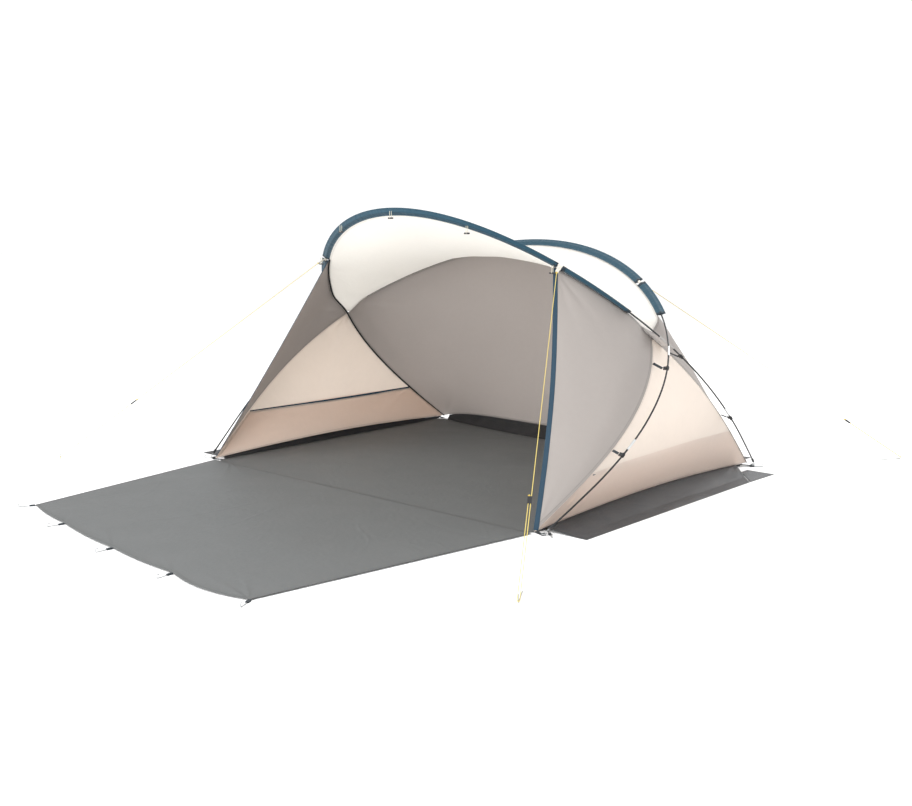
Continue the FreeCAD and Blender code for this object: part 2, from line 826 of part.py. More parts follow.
def rear_skirt():
    rows = []
    for out in (0.0, 0.3, 0.65, 1.0):
        row = []
        for s in spread(-0.93, 0.93, 11):
            top = rear_hem(s) + V(0, 2.5, -1.5)
            outer = V(top.x * 1.01, REAR_CORNER.y + SKIRT_WIDTH * 0.8, CLOTH / 2)
            point = lerp(top, outer, out)
            row.append(V(point.x, point.y, lerp(top, outer, min(1.0, out * 1.5)).z))
        rows.append(row)
    return sheet(rows, CLOTH)


def skirt_corner():
    """The pointed cloth piece that closes the skirt beside a rear foot."""
    wall_x = FOOT_X - CORNER_INSET
    outline = [V(wall_x + 70, skirt_end(0.3) + 6, 0), V(wall_x + SKIRT_WIDTH, skirt_end(1) + 6, 0),
               V(wall_x + SKIRT_WIDTH + 8, skirt_end(0), 0), V(wall_x + 70, skirt_end(0), 0)]
    return plate(outline, 0, GROUND_CLOTH)


def patio_corner(share):
    """A point of the patio's front edge, from its left end (-1) to its right end (1)."""
    reach = PATIO_LENGTH + PATIO_SKEW * share + PATIO_BOW * (1 - share * share)
    return V(PATIO_FRONT_HALF * share, PATIO_BACK_Y - reach, 0)


PATIO_BACK_Y = FLOOR_FRONT - PATIO_CLEARANCE
PATIO_LOOPS = (-1.0, -0.56, -0.02, 0.49, 1.0)


def patio_sheet():
    """The front mat: its edge bulges out a little between each two loops."""
    back_left = V(-PATIO_BACK_HALF, PATIO_BACK_Y, PATIO_LIFT)
    back_right = V(PATIO_BACK_HALF, PATIO_BACK_Y, PATIO_LIFT)
    corners = [patio_corner(s) + UP * PATIO_LIFT for s in PATIO_LOOPS]
    edges = [Part.LineSegment(back_right, back_left).toShape(),
             Part.LineSegment(back_left, corners[0]).toShape()]
    for near, far in zip(corners, corners[1:]):
        out = PATIO_CORNER_SCALLOP if far is corners[-1] else PATIO_SCALLOP
        middle = lerp(near, far, 0.5) - V(0, out, 0)
        edges.append(Part.Arc(near, middle, far).toShape())
    edges.append(Part.LineSegment(corners[-1], back_right).toShape())
    return Part.Face(Part.Wire(edges)).extrude(UP * GROUND_CLOTH)


def save_ground():
    save("groundsheet", groundsheet())
    wall = side_wall()
    save("floor_walls", [wall, mirrored_shape(wall), rear_wall()])
    save_pair("skirt", side_skirt())
    save("rear_skirt", rear_skirt())
    corner = skirt_corner()
    save("skirt_corners", [corner, mirrored_shape(corner)])
    save("patio", patio_sheet())


# ---------------------------------------------------------------- corners and pegs
def strap(start, end, across, width, thickness):
    """A flat piece of webbing between two points."""
    along = unit(end - start)
    side = square_to(across, along) * (width / 2)
    lift = unit(along.cross(side)) * thickness
    corners = [start - side, start + side, end + side, end - side]
    base = Part.Face(Part.makePolygon([c - lift * 0.5 for c in corners + [corners[0]]]))
    return base.extrude(lift)


def bent_rod(points, bend, radius):
    """A wire through points, with an arc of one radius at each inner point."""
    edges = []
    start = points[0]
    for before, corner, after in zip(points, points[1:], points[2:]):
        come = unit(corner - before)
        leave = unit(after - corner)
        half = math.acos(max(-1.0, min(1.0, come.dot(leave)))) / 2
        cut = bend * math.tan(half)
        first = corner - come * cut
        last = corner + leave * cut
        if (first - start).Length > 0.01:
            edges.append(Part.LineSegment(start, first).toShape())
        edges.append(arc_from(first, come, last))
        start = last
    edges.append(Part.LineSegment(start, points[-1]).toShape())
    path = Part.Wire(edges)
    return swept(path, radius, points[0], unit(points[1] - points[0]))


def peg(loop_end, direction, neck):
    """A hook peg lying on the ground: its shaft runs back under the loop, its hook stands up."""
    along = unit(direction)
    lift = UP * (PEG_DIAMETER / 2)
    bend = PEG_DIAMETER * 1.1
    head = loop_end + along * PEG_HEAD + lift
    tip = head - along * (PEG_LENGTH - PEG_HOOK)
    top = head + UP * neck
    back = top - along * PEG_HOOK
    shaft = bent_rod([tip, head, top, back], bend, PEG_DIAMETER / 2)
    point = Part.makeCone(0.6, PEG_DIAMETER / 2, 8.0, tip - along * 8.0, along)
    return shaft.fuse(point)


LOOP_SLOT_WIDE = PEG_DIAMETER + 1.2
LOOP_SLOT_HIGH = PEG_DIAMETER + 0.8
LOOP_WIDTH = LOOP_SLOT_WIDE + 6.4
LOOP_LENGTH = 24.0


def peg_loop(start, direction):
    """A webbing loop on the ground, with a slot along it for a peg's shaft."""
    along = unit(direction)
    across = UP.cross(along)
    top = LOOP_SLOT_HIGH + WEBBING
    outer = strap(start + UP * (top / 2), start + along * LOOP_LENGTH + UP * (top / 2),
                  across, LOOP_WIDTH, top)
    far = start + along * (LOOP_LENGTH + 2)
    near = start - along * 2
    slot_z = UP * (LOOP_SLOT_HIGH / 2 - 1)
    slot = strap(near + slot_z, far + slot_z, across, LOOP_SLOT_WIDE, LOOP_SLOT_HIGH + 2)
    return outer.cut(slot)


def d_ring(centre, outward_way):
    """A D-shaped ring lying level, its straight bar on the inner side."""
    side = UP.cross(outward_way)
    ends = [centre - side * RING_RADIUS, centre + side * RING_RADIUS]
    bow = Part.Arc(ends[0], centre + outward_way * RING_RADIUS, ends[1]).toShape()
    curved = swept(Part.Wire([bow]), RING_WIRE / 2, ends[0], outward_way)
    bar = rod(ends[0] - side * (RING_WIRE / 2), ends[1] + side * (RING_WIRE / 2), RING_WIRE / 2)
    return curved.fuse(bar)


RING_HEIGHT = 7.6
CORNER_WAYS = {
    "front_right": (rear_arch, V(0.74, -0.67, 0)),
    "rear_right": (front_arch, V(0.74, 0.67, 0)),
}


def corner_parts(arch, way):
    """The ring, keeper tab, pin, peg loop and peg of one right-hand corner."""
    side = UP.cross(way)
    pin, foot, down = corner_pin(arch)
    flat = unit(V(down.x, down.y, 0))
    bow_point = V(foot.x, foot.y, 0) + flat * 6.0
    inward = unit(V(-1, -0.35 if way.y > 0 else 0.35, 0))
    centre = bow_point + inward * RING_RADIUS + UP * RING_HEIGHT
    ring = d_ring(centre, -inward)
    eye_radius = 5.0
    eye = Part.makeTorus(eye_radius, 1.2, bow_point + UP * RING_HEIGHT, inward.cross(UP))
    shank = rod(foot, bow_point + UP * (RING_HEIGHT + eye_radius), PIN_DIAMETER / 2)
    pin = pin.fuse(shank).fuse(eye)
    bore = RING_WIRE / 2 + 0.3
    cross_way = UP.cross(inward)
    half = cross_way * (RING_RADIUS - 4.0)
    keeper = rod(centre - half, centre + half, bore + WEBBING, bore)
    block_end = centre + inward * 8.0
    post = strap(V(centre.x, centre.y, RING_HEIGHT / 2 - bore / 2 - 0.2) + inward * 3.4,
                 V(block_end.x, block_end.y, RING_HEIGHT / 2 - bore / 2 - 0.2), cross_way,
                 2 * (RING_RADIUS - 4.0), RING_HEIGHT - bore - 0.2)
    tab_start = V(centre.x, centre.y, WEBBING / 2) - inward * 4.0
    tab_end = V(centre.x, centre.y, WEBBING / 2) + inward * 62.0
    tab = strap(tab_start, tab_end, cross_way, WEBBING_WIDTH, WEBBING)
    body = tab.fuse(post).fuse(keeper)
    loop_start = V(bow_point.x, bow_point.y, 0) + side * (22.0 if way.y < 0 else -22.0) - way * 30.0
    loop = peg_loop(loop_start, way)
    return {"ring": ring, "tab": body, "pin": pin, "loop": loop,
            "peg": peg(loop_start + way * LOOP_LENGTH, way, PEG_HOOK)}


def save_corners():
    rings = []
    tabs = []
    pins = []
    loops = []
    tips = []
    for name, (arch, way) in CORNER_WAYS.items():
        made = corner_parts(arch, unit(way))
        tip = pole_tip(arch)
        for kept, solid in ((rings, made["ring"]), (tabs, made["tab"]), (pins, made["pin"]),
                            (loops, made["loop"]), (tips, tip)):
            kept.extend([solid, mirrored_shape(solid)])
        end = name.split("_")[0]
        save("corner_peg_" + end + "_right", made["peg"])
        save("corner_peg_" + end + "_left", mirrored_shape(made["peg"]))
    save("corner_rings", rings)
    save("corner_tabs", tabs + loops)
    save("corner_pins", pins)
    save("pole_tips", tips)


def save_patio_pegs():
    loops = []
    for number, share in enumerate(PATIO_LOOPS, 1):
        way = unit(V(0.5 * share * abs(share), -1, 0))
        start = patio_corner(share) + way * LOOP_GAP
        loops.append(peg_loop(start, way))
        save("patio_peg_" + str(number), peg(start + way * LOOP_LENGTH, way, PEG_HOOK))
    save("patio_loops", loops)


# ---------------------------------------------------------------- guy lines
NECK_TURN = PEG_DIAMETER / 2 + GUY_DIAMETER / 2 + 1.1
GUY_POINTS = {
    "left": (front_arch, -GUY_POINT_FRONT),
    "right": (front_arch, GUY_POINT_FRONT),
    "rear": (rear_arch, GUY_POINT_REAR),
}
NECK_LINE_HEIGHT = 11.0


def guy_loop(arch, distance, way):
    """A webbing band round the pole with a tail towards the guy line."""
    centre = arch.at(distance)
    axis = arch.tangent(distance)
    bore = FERRULE_RADIUS + LOOSE
    half = axis * (WEBBING_WIDTH / 2)
    band = rod(centre - half, centre + half, bore + WEBBING, bore)
    pull = square_to(way, axis)
    tail = strap(centre + pull * (bore + 0.6), centre + pull * GUY_LOOP_LENGTH, axis,
                 WEBBING_WIDTH * 0.8, WEBBING)
    hole = centre + pull * (GUY_LOOP_LENGTH - 7)
    punch = rod(hole - UP * 30, hole + UP * 30, GUY_DIAMETER / 2 + 0.6)
    return band.fuse(tail).cut(punch), centre + pull * GUY_LOOP_LENGTH


def guy(name):
    """One guy line: down from its loop, round the peg's neck and back up to the runner."""
    arch, distance = GUY_POINTS[name]
    foot = GUY_FEET[name] + UP * NECK_LINE_HEIGHT
    way = unit(foot - arch.at(distance))
    loop, tail = guy_loop(arch, distance, way)
    way = unit(foot - tail)
    side = unit(UP.cross(way))
    plane_up = way.cross(side)
    knot = tail + way * (KNOT / 2 + 1.0)
    shift = side * NECK_TURN
    top = knot + way * (KNOT / 2 - 1.5)
    down_way = unit(foot + shift - top)
    side = unit(plane_up.cross(down_way))
    side = side if side.dot(shift) > 0 else side * -1
    turn_centre = foot
    low_a = turn_centre + side * NECK_TURN
    top = low_a - down_way * (low_a - top).Length
    low_b = turn_centre - side * NECK_TURN
    runner_place = lerp(low_a, top, 1 - RUNNER_SHARE[name])
    other_top = runner_place - side * (2 * NECK_TURN) - down_way * (RUNNER_LENGTH / 2 + 3)
    turn = down_way * NECK_TURN
    route = [top, low_a + turn, low_b + turn, other_top]
    line = bent_rod(route, NECK_TURN, GUY_DIAMETER / 2)
    length = (low_a - top).Length + math.pi * NECK_TURN + (other_top - low_b).Length
    section = math.pi * GUY_DIAMETER ** 2 / 4
    print("guy", name, "length", round(length), "volume / section",
          round(line.Volume / section), "turn radius", NECK_TURN)
    print("   route", [[round(c, 1) for c in place] for place in route])
    middle = runner_place - side * NECK_TURN
    body = strap(middle - down_way * (RUNNER_LENGTH / 2), middle + down_way * (RUNNER_LENGTH / 2),
                 side, RUNNER_WIDTH, RUNNER_HEIGHT)
    for place in (runner_place, runner_place - side * (2 * NECK_TURN)):
        hole = rod(place - down_way * RUNNER_LENGTH, place + down_way * RUNNER_LENGTH,
                   GUY_DIAMETER / 2 + GUY_CLEARANCE)
        body = body.cut(hole)
    knots = []
    for end in (top, other_top):
        knot = Part.makeSphere(KNOT / 2, end - down_way * (KNOT / 2 - 1.5))
        seat = Part.makeCylinder(GUY_DIAMETER / 2 + 0.05, KNOT, end, down_way)
        knots.append(knot.cut(seat))
    print("   runner", [round(c, 1) for c in middle], "way", [round(c, 4) for c in down_way])
    flat = unit(V(way.x, way.y, 0))
    neck = V(foot.x, foot.y, 0)
    stake = peg(neck - flat * PEG_HEAD, flat, PEG_NECK)
    return loop, line, body, knots, stake


def save_guys():
    loops = []
    knots = []
    for name in GUY_POINTS:
        loop, line, runner, pair, stake = guy(name)
        loops.append(loop)
        knots.extend(pair)
        save("guy_line_" + name, line)
        save("guy_runner_" + name, runner)
        save("guy_peg_" + name, stake)
    loops.append(mirrored_shape(loops[-1]))
    save("guy_loops", loops)
    save("guy_knots", knots)


# ---------------------------------------------------------------- toggles and clips
LOOP_CORD = 2.4
TOGGLE_HOLE = LOOP_CORD + 1.0


def toggle(distance):
    """A closing toggle with its elastic loop, under the front edge of the front sleeve."""
    normal = outward(distance, front_arch)
    front = unit(normal.cross(front_arch.tangent(distance)))
    front = front if front.y < 0 else front * -1
    anchor = front_arch.at(distance) + front * (SLEEVE_WIDTH / 2 + 7.5)
    centre = anchor - UP * TOGGLE_DROP
    half = V(TOGGLE_LENGTH / 2 - TOGGLE_DIAMETER / 2, 0, 0)
    bar = rod(centre - half, centre + half, TOGGLE_DIAMETER / 2)
    for end in (centre - half, centre + half):
        bar = bar.fuse(Part.makeSphere(TOGGLE_DIAMETER / 2, end))
    hole = V(0, TOGGLE_DIAMETER, 0)
    bar = bar.cut(rod(centre - hole, centre + hole, TOGGLE_HOLE / 2))
    gap = V(0, TOGGLE_DIAMETER / 2 + LOOP_CORD / 2 + 0.7, 0)
    loop = bent_rod([anchor - gap, centre - gap, centre + gap, anchor + gap],
                    LOOP_CORD * 0.8, LOOP_CORD / 2)
    return bar, loop, centre


def clip(arch, cross, corner, from_foot):
    """A snap clip on a bare leg, and the strap that ties it to the seam."""
    distance = arch.half - from_foot
    centre = arch.at(distance)
    axis = arch.tangent(distance)
    share = (distance - cross) / (arch.half - cross)
    seam = leg_seam(arch, cross, corner, share)
    inward = square_to(seam - centre, axis)
    bore = POLE_DIAMETER / 2 + CLIP_CLEARANCE
    half = axis * (CLIP_LENGTH / 2)
    ring = rod(centre - half, centre + half, bore + CLIP_WALL, bore)
    mouth = strap(centre - inward * 2, centre - inward * (bore + CLIP_WALL + 2), axis,
                  CLIP_LENGTH + 4, POLE_DIAMETER * 0.8)
    ring = ring.cut(mouth)
    foot = strap(centre + inward * (bore + 0.6), centre + inward * (bore + CLIP_WALL + 12), axis,
                 CLIP_LENGTH, 5.0)
    start = centre + inward * (bore + CLIP_WALL + 17.0)
    tie = strap(start, seam - inward * 5.5, axis, CLIP_LENGTH * 0.7, WEBBING)
    return ring.fuse(foot), tie


def save_fittings():
    loops = []
    for number in range(1, 6):
        bar, loop, centre = toggle((number - 3) * TOGGLE_SPACING)
        save("toggle_" + str(number), bar)
        print("toggle", number, [round(c, 1) for c in centre])
        loops.append(loop)
    save("toggle_loops", loops)
    clips = []
    ties = []
    legs = ((rear_arch, rear_cross, FRONT_CORNER), (front_arch, front_cross, REAR_CORNER))
    for arch, cross, corner in legs:
        for from_foot in (CLIP_LOW, CLIP_HIGH):
            made, tie = clip(arch, cross, corner, from_foot)
            clips.extend([made, mirrored_shape(made)])
            ties.extend([tie, mirrored_shape(tie)])
    save("pole_clips", clips)
    save("clip_straps", ties)


os.makedirs("parts", exist_ok=True)
save_poles()
save_sleeves()
save_panels()
save_ground()
save_corners()
save_patio_pegs()
save_guys()
save_fittings()
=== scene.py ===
"""Looks of the tarp shelter: cloth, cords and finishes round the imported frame.

Metres, +Z up, the open front towards -Y. The cloth pieces are surfaces on grids, worked out
from the two bent poles; poles, pegs, rings, clips and toggles are the frame's own nodes.
"""

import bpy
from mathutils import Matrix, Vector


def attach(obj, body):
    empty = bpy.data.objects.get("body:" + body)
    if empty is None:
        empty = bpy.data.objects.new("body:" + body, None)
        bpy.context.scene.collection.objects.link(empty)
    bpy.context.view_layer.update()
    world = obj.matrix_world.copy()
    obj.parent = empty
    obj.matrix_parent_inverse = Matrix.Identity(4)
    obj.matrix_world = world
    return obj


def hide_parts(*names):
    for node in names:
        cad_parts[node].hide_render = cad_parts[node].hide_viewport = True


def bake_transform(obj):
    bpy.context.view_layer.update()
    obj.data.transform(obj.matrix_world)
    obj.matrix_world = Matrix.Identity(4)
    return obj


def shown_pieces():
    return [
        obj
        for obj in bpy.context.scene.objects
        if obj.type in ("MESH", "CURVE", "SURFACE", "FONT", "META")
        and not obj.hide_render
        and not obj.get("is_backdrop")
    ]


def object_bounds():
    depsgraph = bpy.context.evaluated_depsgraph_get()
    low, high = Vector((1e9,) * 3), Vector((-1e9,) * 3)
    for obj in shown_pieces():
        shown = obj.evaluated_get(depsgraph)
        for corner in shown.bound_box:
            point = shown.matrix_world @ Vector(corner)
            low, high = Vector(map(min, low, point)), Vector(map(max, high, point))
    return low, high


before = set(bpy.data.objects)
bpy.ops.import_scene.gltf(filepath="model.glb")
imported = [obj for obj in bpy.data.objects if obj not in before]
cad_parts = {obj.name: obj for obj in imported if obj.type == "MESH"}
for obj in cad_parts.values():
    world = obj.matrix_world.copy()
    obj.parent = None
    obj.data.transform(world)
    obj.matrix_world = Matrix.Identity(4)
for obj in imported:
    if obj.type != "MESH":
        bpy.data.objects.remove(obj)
CAD_BOX = [list(corner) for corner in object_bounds()]

import logging
import math
from dataclasses import dataclass, field
from enum import Enum
from typing import Optional, Sequence

import bpy
import numpy as np
from mathutils import Vector

logging.basicConfig(level=logging.INFO, format="%(message)s")
LOG = logging.getLogger("shelter")

Array = np.ndarray
Point = tuple[float, float, float]
TAU = 2.0 * math.pi
UP = np.array([0.0, 0.0, 1.0])


# ---------------------------------------------------------------- sizes
@dataclass(frozen=True)
class Pitch:
    """The shelter's driving sizes, in metres, as the frame was designed."""

    foot_span: float = 2.300
    foot_depth: float = 1.875
    front_height: float = 1.340
    front_reach: float = 1.565
    front_bend: float = 0.719
    front_belly: float = 0.0755
    front_bow: float = 0.037
    rear_height: float = 1.176
    rear_reach: float = 1.436
    rear_bend: float = 0.745
    rear_bow: float = 0.040
    pole: float = 0.0079
    pole_clearance: float = 0.0065
    sleeve_width: float = 0.044
    sleeve_droop: float = math.radians(55.0)
    sleeve_seam: float = -0.001
    guy_point_front: float = 0.903
    front_sleeve_end: float = 1.290
    wing_point: float = 0.882
    guy_point_rear: float = 0.862
    rear_sleeve_end: float = 1.165
    sleeve_gap: float = 0.024
    crossing_inset: float = 0.084
    crossing_raise: float = 0.014
    corner_inset: float = 0.042
    corner_step: float = 0.012
    corner_lift: float = 0.012
    roof_sag: float = 0.120
    back_belly: float = 0.060
    side_hem_lift: float = 0.030
    rear_hem_lift: float = 0.050
    rear_hem_bow: float = 0.070
    wing_bow_out: float = 0.014
    wing_bow_back: float = 0.025
    pocket_height: float = 0.225
    pocket_gap: float = 0.014
    floor_side_inset: float = 0.052
    floor_front_inset: float = 0.010
    floor_rear_inset: float = 0.060
    floor_rear_bow: float = 0.130
    floor_corner_cut: float = 0.035
    skirt_width: float = 0.215
    skirt_front_gap: float = 0.088
    skirt_rear_gap: float = 0.140
    skirt_point: float = 0.250
    patio_length: float = 1.230
    patio_front_half: float = 0.896
    patio_back_half: float = 1.100
    patio_skew: float = 0.080
    patio_bow: float = 0.060
    patio_scallop: float = 0.012
    patio_corner_scallop: float = 0.040
    patio_lift: float = 0.0052
    wing_step: float = 0.0025


PITCH = Pitch()


# ---------------------------------------------------------------- number helpers
def unit(vectors: Array) -> Array:
    """Vectors divided by their own lengths."""
    return vectors / np.maximum(np.linalg.norm(vectors, axis=-1, keepdims=True), 1e-12)


def smooth(value: Array) -> Array:
    """The ease 3v^2 - 2v^3, with v held between 0 and 1."""
    held = np.clip(value, 0.0, 1.0)
    return held * held * (3.0 - 2.0 * held)


def mix(start: Array, end: Array, share: Array) -> Array:
    """The straight mix of two sets of points.

    Args:
        start: Points at share 0.
        end: Points at share 1.
        share: Numbers from 0 to 1, one for each point.

    Returns:
        The mixed points.
    """
    return start + (end - start) * np.asarray(share)[..., None]


def point(x: Array, y: Array, z: Array) -> Array:
    """Points from three arrays that broadcast together."""
    return np.stack(np.broadcast_arrays(np.asarray(x, float), y, z), axis=-1)


def flipped(points: Array) -> Array:
    """Points mirrored left to right."""
    return points * np.array([-1.0, 1.0, 1.0])


def grid_normals(grid: Array) -> Array:
    """Unit normals of a grid of points: the cross product of its two differences."""
    along = np.gradient(grid, axis=1)
    across = np.gradient(grid, axis=0)
    return unit(np.cross(along, across))


def grid_lengths(grid: Array) -> tuple[Array, Array]:
    """Running lengths in metres over a grid, for patterns that follow the cloth.

    Args:
        grid: Points with shape (rows, columns, 3).

    Returns:
        The length along each row and the length down each column, each (rows, columns).
    """
    along = np.linalg.norm(np.diff(grid, axis=1), axis=-1)
    down = np.linalg.norm(np.diff(grid, axis=0), axis=-1)
    rows, columns = grid.shape[:2]
    u = np.concatenate([np.zeros((rows, 1)), np.cumsum(along, axis=1)], axis=1)
    v = np.concatenate([np.zeros((1, columns)), np.cumsum(down, axis=0)], axis=0)
    return u - u[:, -1:] / 2, v


def border_distance(grid: Array) -> Array:
    """The distance of each grid point from the nearest border, measured over the cloth."""
    u, v = grid_lengths(grid)
    u = u - u[:, :1]
    sides = np.minimum(u, u[:, -1:] - u)
    ends = np.minimum(v, v[-1:, :] - v)
    return np.minimum(sides, ends)


# ---------------------------------------------------------------- the two bent poles
@dataclass
class Arch:
    """A pole bent between two feet, as a springy rod bends, and leaning out of the upright.

    The curve is the elastica: across = integral of (1 - 2 k2 sin2) / sqrt(1 - k2 sin2),
    up = cos, over an angle from -90 to 90 degrees, with k the bend modulus.
    """

    height: float
    reach: float
    bend: float
    belly: float
    bow: float
    foot_y: float
    toward: float
    steps: int = 720
    points: Array = field(init=False)
    reached: Array = field(init=False)

    def __post_init__(self) -> None:
        """Works out one half of the pole, from its top down to its right foot."""
        step = math.pi / self.steps
        sine = np.sin((np.arange(self.steps // 2) + 0.5) * step)
        slope = (1 - 2 * (self.bend * sine) ** 2) / np.sqrt(1 - (self.bend * sine) ** 2)
        across = np.concatenate([[0.0], np.cumsum(slope * step)])
        share = np.cos(np.arange(len(across)) * step)
        rise = math.hypot(self.height, self.reach)
        lean = math.atan2(self.reach, self.height)
        width = across / across[-1] * PITCH.foot_span / 2
        width = width * (1 + self.belly * np.sin(math.pi * share))
        bulge = 4 * self.bow * share * (1 - share)
        forward = math.sin(lean) * share * rise + math.cos(lean) * bulge
        self.points = point(width, self.foot_y + self.toward * forward,
                            math.cos(lean) * share * rise - math.sin(lean) * bulge)
        gaps = np.linalg.norm(np.diff(self.points, axis=0), axis=1)
        self.reached = np.concatenate([[0.0], np.cumsum(gaps)])

    @property
    def half(self) -> float:
        """The length from the pole's top to its foot."""
        return float(self.reached[-1])

    def at(self, distance: Array) -> Array:
        """The points at distances along the pole from its top, positive to the right."""
        distance = np.asarray(distance, float)
        found = point(*[np.interp(np.abs(distance), self.reached, self.points[:, k])
                        for k in range(3)])
        side = np.where(distance < 0, -1.0, 1.0)
        return found * np.stack([side, np.ones_like(side), np.ones_like(side)], axis=-1)

    def tangent(self, distance: Array) -> Array:
        """The pole's direction at distances along it, from left to right."""
        span = 0.004
        middle = np.clip(distance, span - self.half, self.half - span)
        return unit(self.at(middle + span) - self.at(middle - span))

    def outward(self, distance: Array) -> Array:
        """The way out of the canopy at distances along the pole, square to the pole."""
        x = self.at(distance)[..., 0] / (PITCH.foot_span / 2)
        share = np.clip(x, -1.0, 1.0)
        way = point(share, np.full_like(share, 0.08), np.sqrt(1 - 0.92 * share * share))
        along = self.tangent(distance)
        return unit(way - along * np.sum(way * along, axis=-1, keepdims=True))


class Canopy:
    """Where the cloth's seams run between the two poles."""

    def __init__(self) -> None:
        """Bends the two poles and finds where they cross in the side view."""
        self.front_y = -PITCH.foot_depth / 2
        self.rear_y = PITCH.foot_depth / 2
        self.front = Arch(PITCH.front_height, PITCH.front_reach, PITCH.front_bend,
                          PITCH.front_belly, PITCH.front_bow, self.rear_y, -1)
        plain = self._rear(0.0)
        distances = np.linspace(0, self.front.half, 20001)
        line = self.front.at(distances)
        height = np.interp(line[:, 1], plain.points[::-1, 1], plain.points[::-1, 2])
        self.front_cross = float(distances[np.argmax(line[:, 2] <= height)])
        cross = self.front.at(self.front_cross)
        wanted = cross[0] + PITCH.pole + PITCH.pole_clearance
        trial = self._rear(PITCH.front_belly)
        plain_x = plain.at(self._distance_at(plain, cross[1]))[0]
        trial_x = trial.at(self._distance_at(trial, cross[1]))[0]
        self.rear = self._rear(PITCH.front_belly * (wanted - plain_x) / (trial_x - plain_x))
        self.rear_cross = self._distance_at(self.rear, cross[1])
        middle = (cross + self.rear.at(self.rear_cross)) / 2
        self.cross = middle + np.array([-PITCH.crossing_inset, 0, PITCH.crossing_raise])
        foot = PITCH.foot_span / 2 - PITCH.corner_inset
        self.front_corner = np.array([foot, self.front_y + PITCH.corner_step,
                                      PITCH.corner_lift])
        self.rear_corner = np.array([foot, self.rear_y - PITCH.corner_step,
                                     PITCH.corner_lift])

    def _rear(self, belly: float) -> Arch:
        """The rear pole with a chosen belly."""
        return Arch(PITCH.rear_height, PITCH.rear_reach, PITCH.rear_bend, belly,
                    PITCH.rear_bow, self.front_y, 1)

    @staticmethod
    def _distance_at(arch: Arch, y: float) -> float:
        """How far along the rear pole a place in depth is."""
        return float(np.interp(y, arch.points[::-1, 1], arch.reached[::-1]))

    @staticmethod
    def hang(arch: Arch, distance: Array, roofward: float) -> tuple[Array, Array]:
        """The way a sleeve's flat side hangs from its pole, and the way it faces.

        Args:
            arch: The pole.
            distance: Distances from the pole's top.
            roofward: 1 if the canopy is on the side of tangent x normal, or else -1.

        Returns:
            The directions across the sleeve and square to it.
        """
        along = arch.tangent(distance)
        normal = arch.outward(distance)
        way = np.cross(along, normal) * roofward
        across = unit(way * math.cos(PITCH.sleeve_droop)
                      - normal * math.sin(PITCH.sleeve_droop))
        return across, unit(np.cross(along, across))

    def beside(self, arch: Arch, cross: float, sleeve_end: float, distance: Array) -> Array:
        """The cloth's line beside an arch: at its sleeve's edge, then drawing in.

        Args:
            arch: The pole it follows.
            cross: The distance along the pole at which the poles cross.
            sleeve_end: The distance at which the sleeve ends and the line leaves the pole.
            distance: Distances from the pole's top, positive to the right.

        Returns:
            Points, one for each distance.
        """
        reach = np.abs(distance)
        roofward = 1.0 if arch is self.rear else -1.0
        share = smooth((reach - sleeve_end) / (cross - sleeve_end))[..., None]
        across, _ = self.hang(arch, reach, roofward)
        edge = across * (PITCH.sleeve_width / 2 + PITCH.sleeve_seam)
        place = arch.at(reach) + edge * (1 - share) + share * (self.cross - arch.at(cross))
        side = np.where(np.asarray(distance) < 0, -1.0, 1.0)
        place[..., 0] *= side
        return place

    def leg(self, arch: Arch, cross: float, corner: Array, share: Array) -> Array:
        """The cloth's line beside a bare leg, from the crossing (0) to a corner (1)."""
        share = np.asarray(share, float)
        start = self.cross - arch.at(cross)
        end = corner - arch.at(arch.half)
        return arch.at(cross + (arch.half - cross) * share) + mix(start, end, share)

    def front_leg(self, share: Array) -> Array:
        """The seam beside the right-hand leg that stands on the front foot."""
        return self.leg(self.rear, self.rear_cross, self.front_corner, share)

    def rear_leg(self, share: Array) -> Array:
        """The seam beside the right-hand leg that stands on the rear foot."""
        return self.leg(self.front, self.front_cross, self.rear_corner, share)

    def roof_front(self, share: Array) -> Array:
        """The roof's front line, from the left crossing (-1) to the right one (1)."""
        return self.beside(self.front, self.front_cross, PITCH.front_sleeve_end,
                           np.asarray(share) * self.front_cross)

    def roof_rear(self, share: Array) -> Array:
        """The roof's rear line, at the rear sleeve's edge."""
        return self.beside(self.rear, self.rear_cross, PITCH.rear_sleeve_end,
                           np.asarray(share) * self.rear_cross)

    def wing_top(self, distance: Array) -> Array:
        """The wing's line along the front sleeve, just in front of the roof's."""
        distance = np.asarray(distance, float)
        seam = self.beside(self.front, self.front_cross, PITCH.front_sleeve_end, distance)
        free = (self.front_cross - distance) / (self.front_cross - PITCH.wing_point)
        return seam + free[..., None] * np.array([0.0, -PITCH.wing_step, -PITCH.wing_step])

    def side_hem(self, share: Array) -> Array:
        """The lower edge of the right side panel, from the front corner (0) to the rear (1)."""
        share = np.asarray(share, float)
        lift = PITCH.side_hem_lift * np.sin(math.pi * share)
        return mix(self.front_corner, self.rear_corner, share) + lift[..., None] * UP

    def rear_hem(self, share: Array) -> Array:
        """The lower edge of the back panel, from its left end (-1) to its right end (1)."""
        share = np.asarray(share, float)
        return point(self.rear_corner[0] * share,
                     self.rear_corner[1] - PITCH.rear_hem_bow * (1 - share ** 2),
                     PITCH.corner_lift + PITCH.rear_hem_lift * (1 - share ** 6))

    def wing_edge(self, share: Array) -> Array:
        """The right wing's free front edge, from its top corner (0) to the foot (1)."""
        share = np.asarray(share, float)
        top = self.wing_top(PITCH.wing_point)
        curve = np.sin(math.pi * share)[..., None]
        bow = np.array([PITCH.wing_bow_out, PITCH.wing_bow_back, 0.0])
        return mix(top, self.front_corner, share) + bow * curve

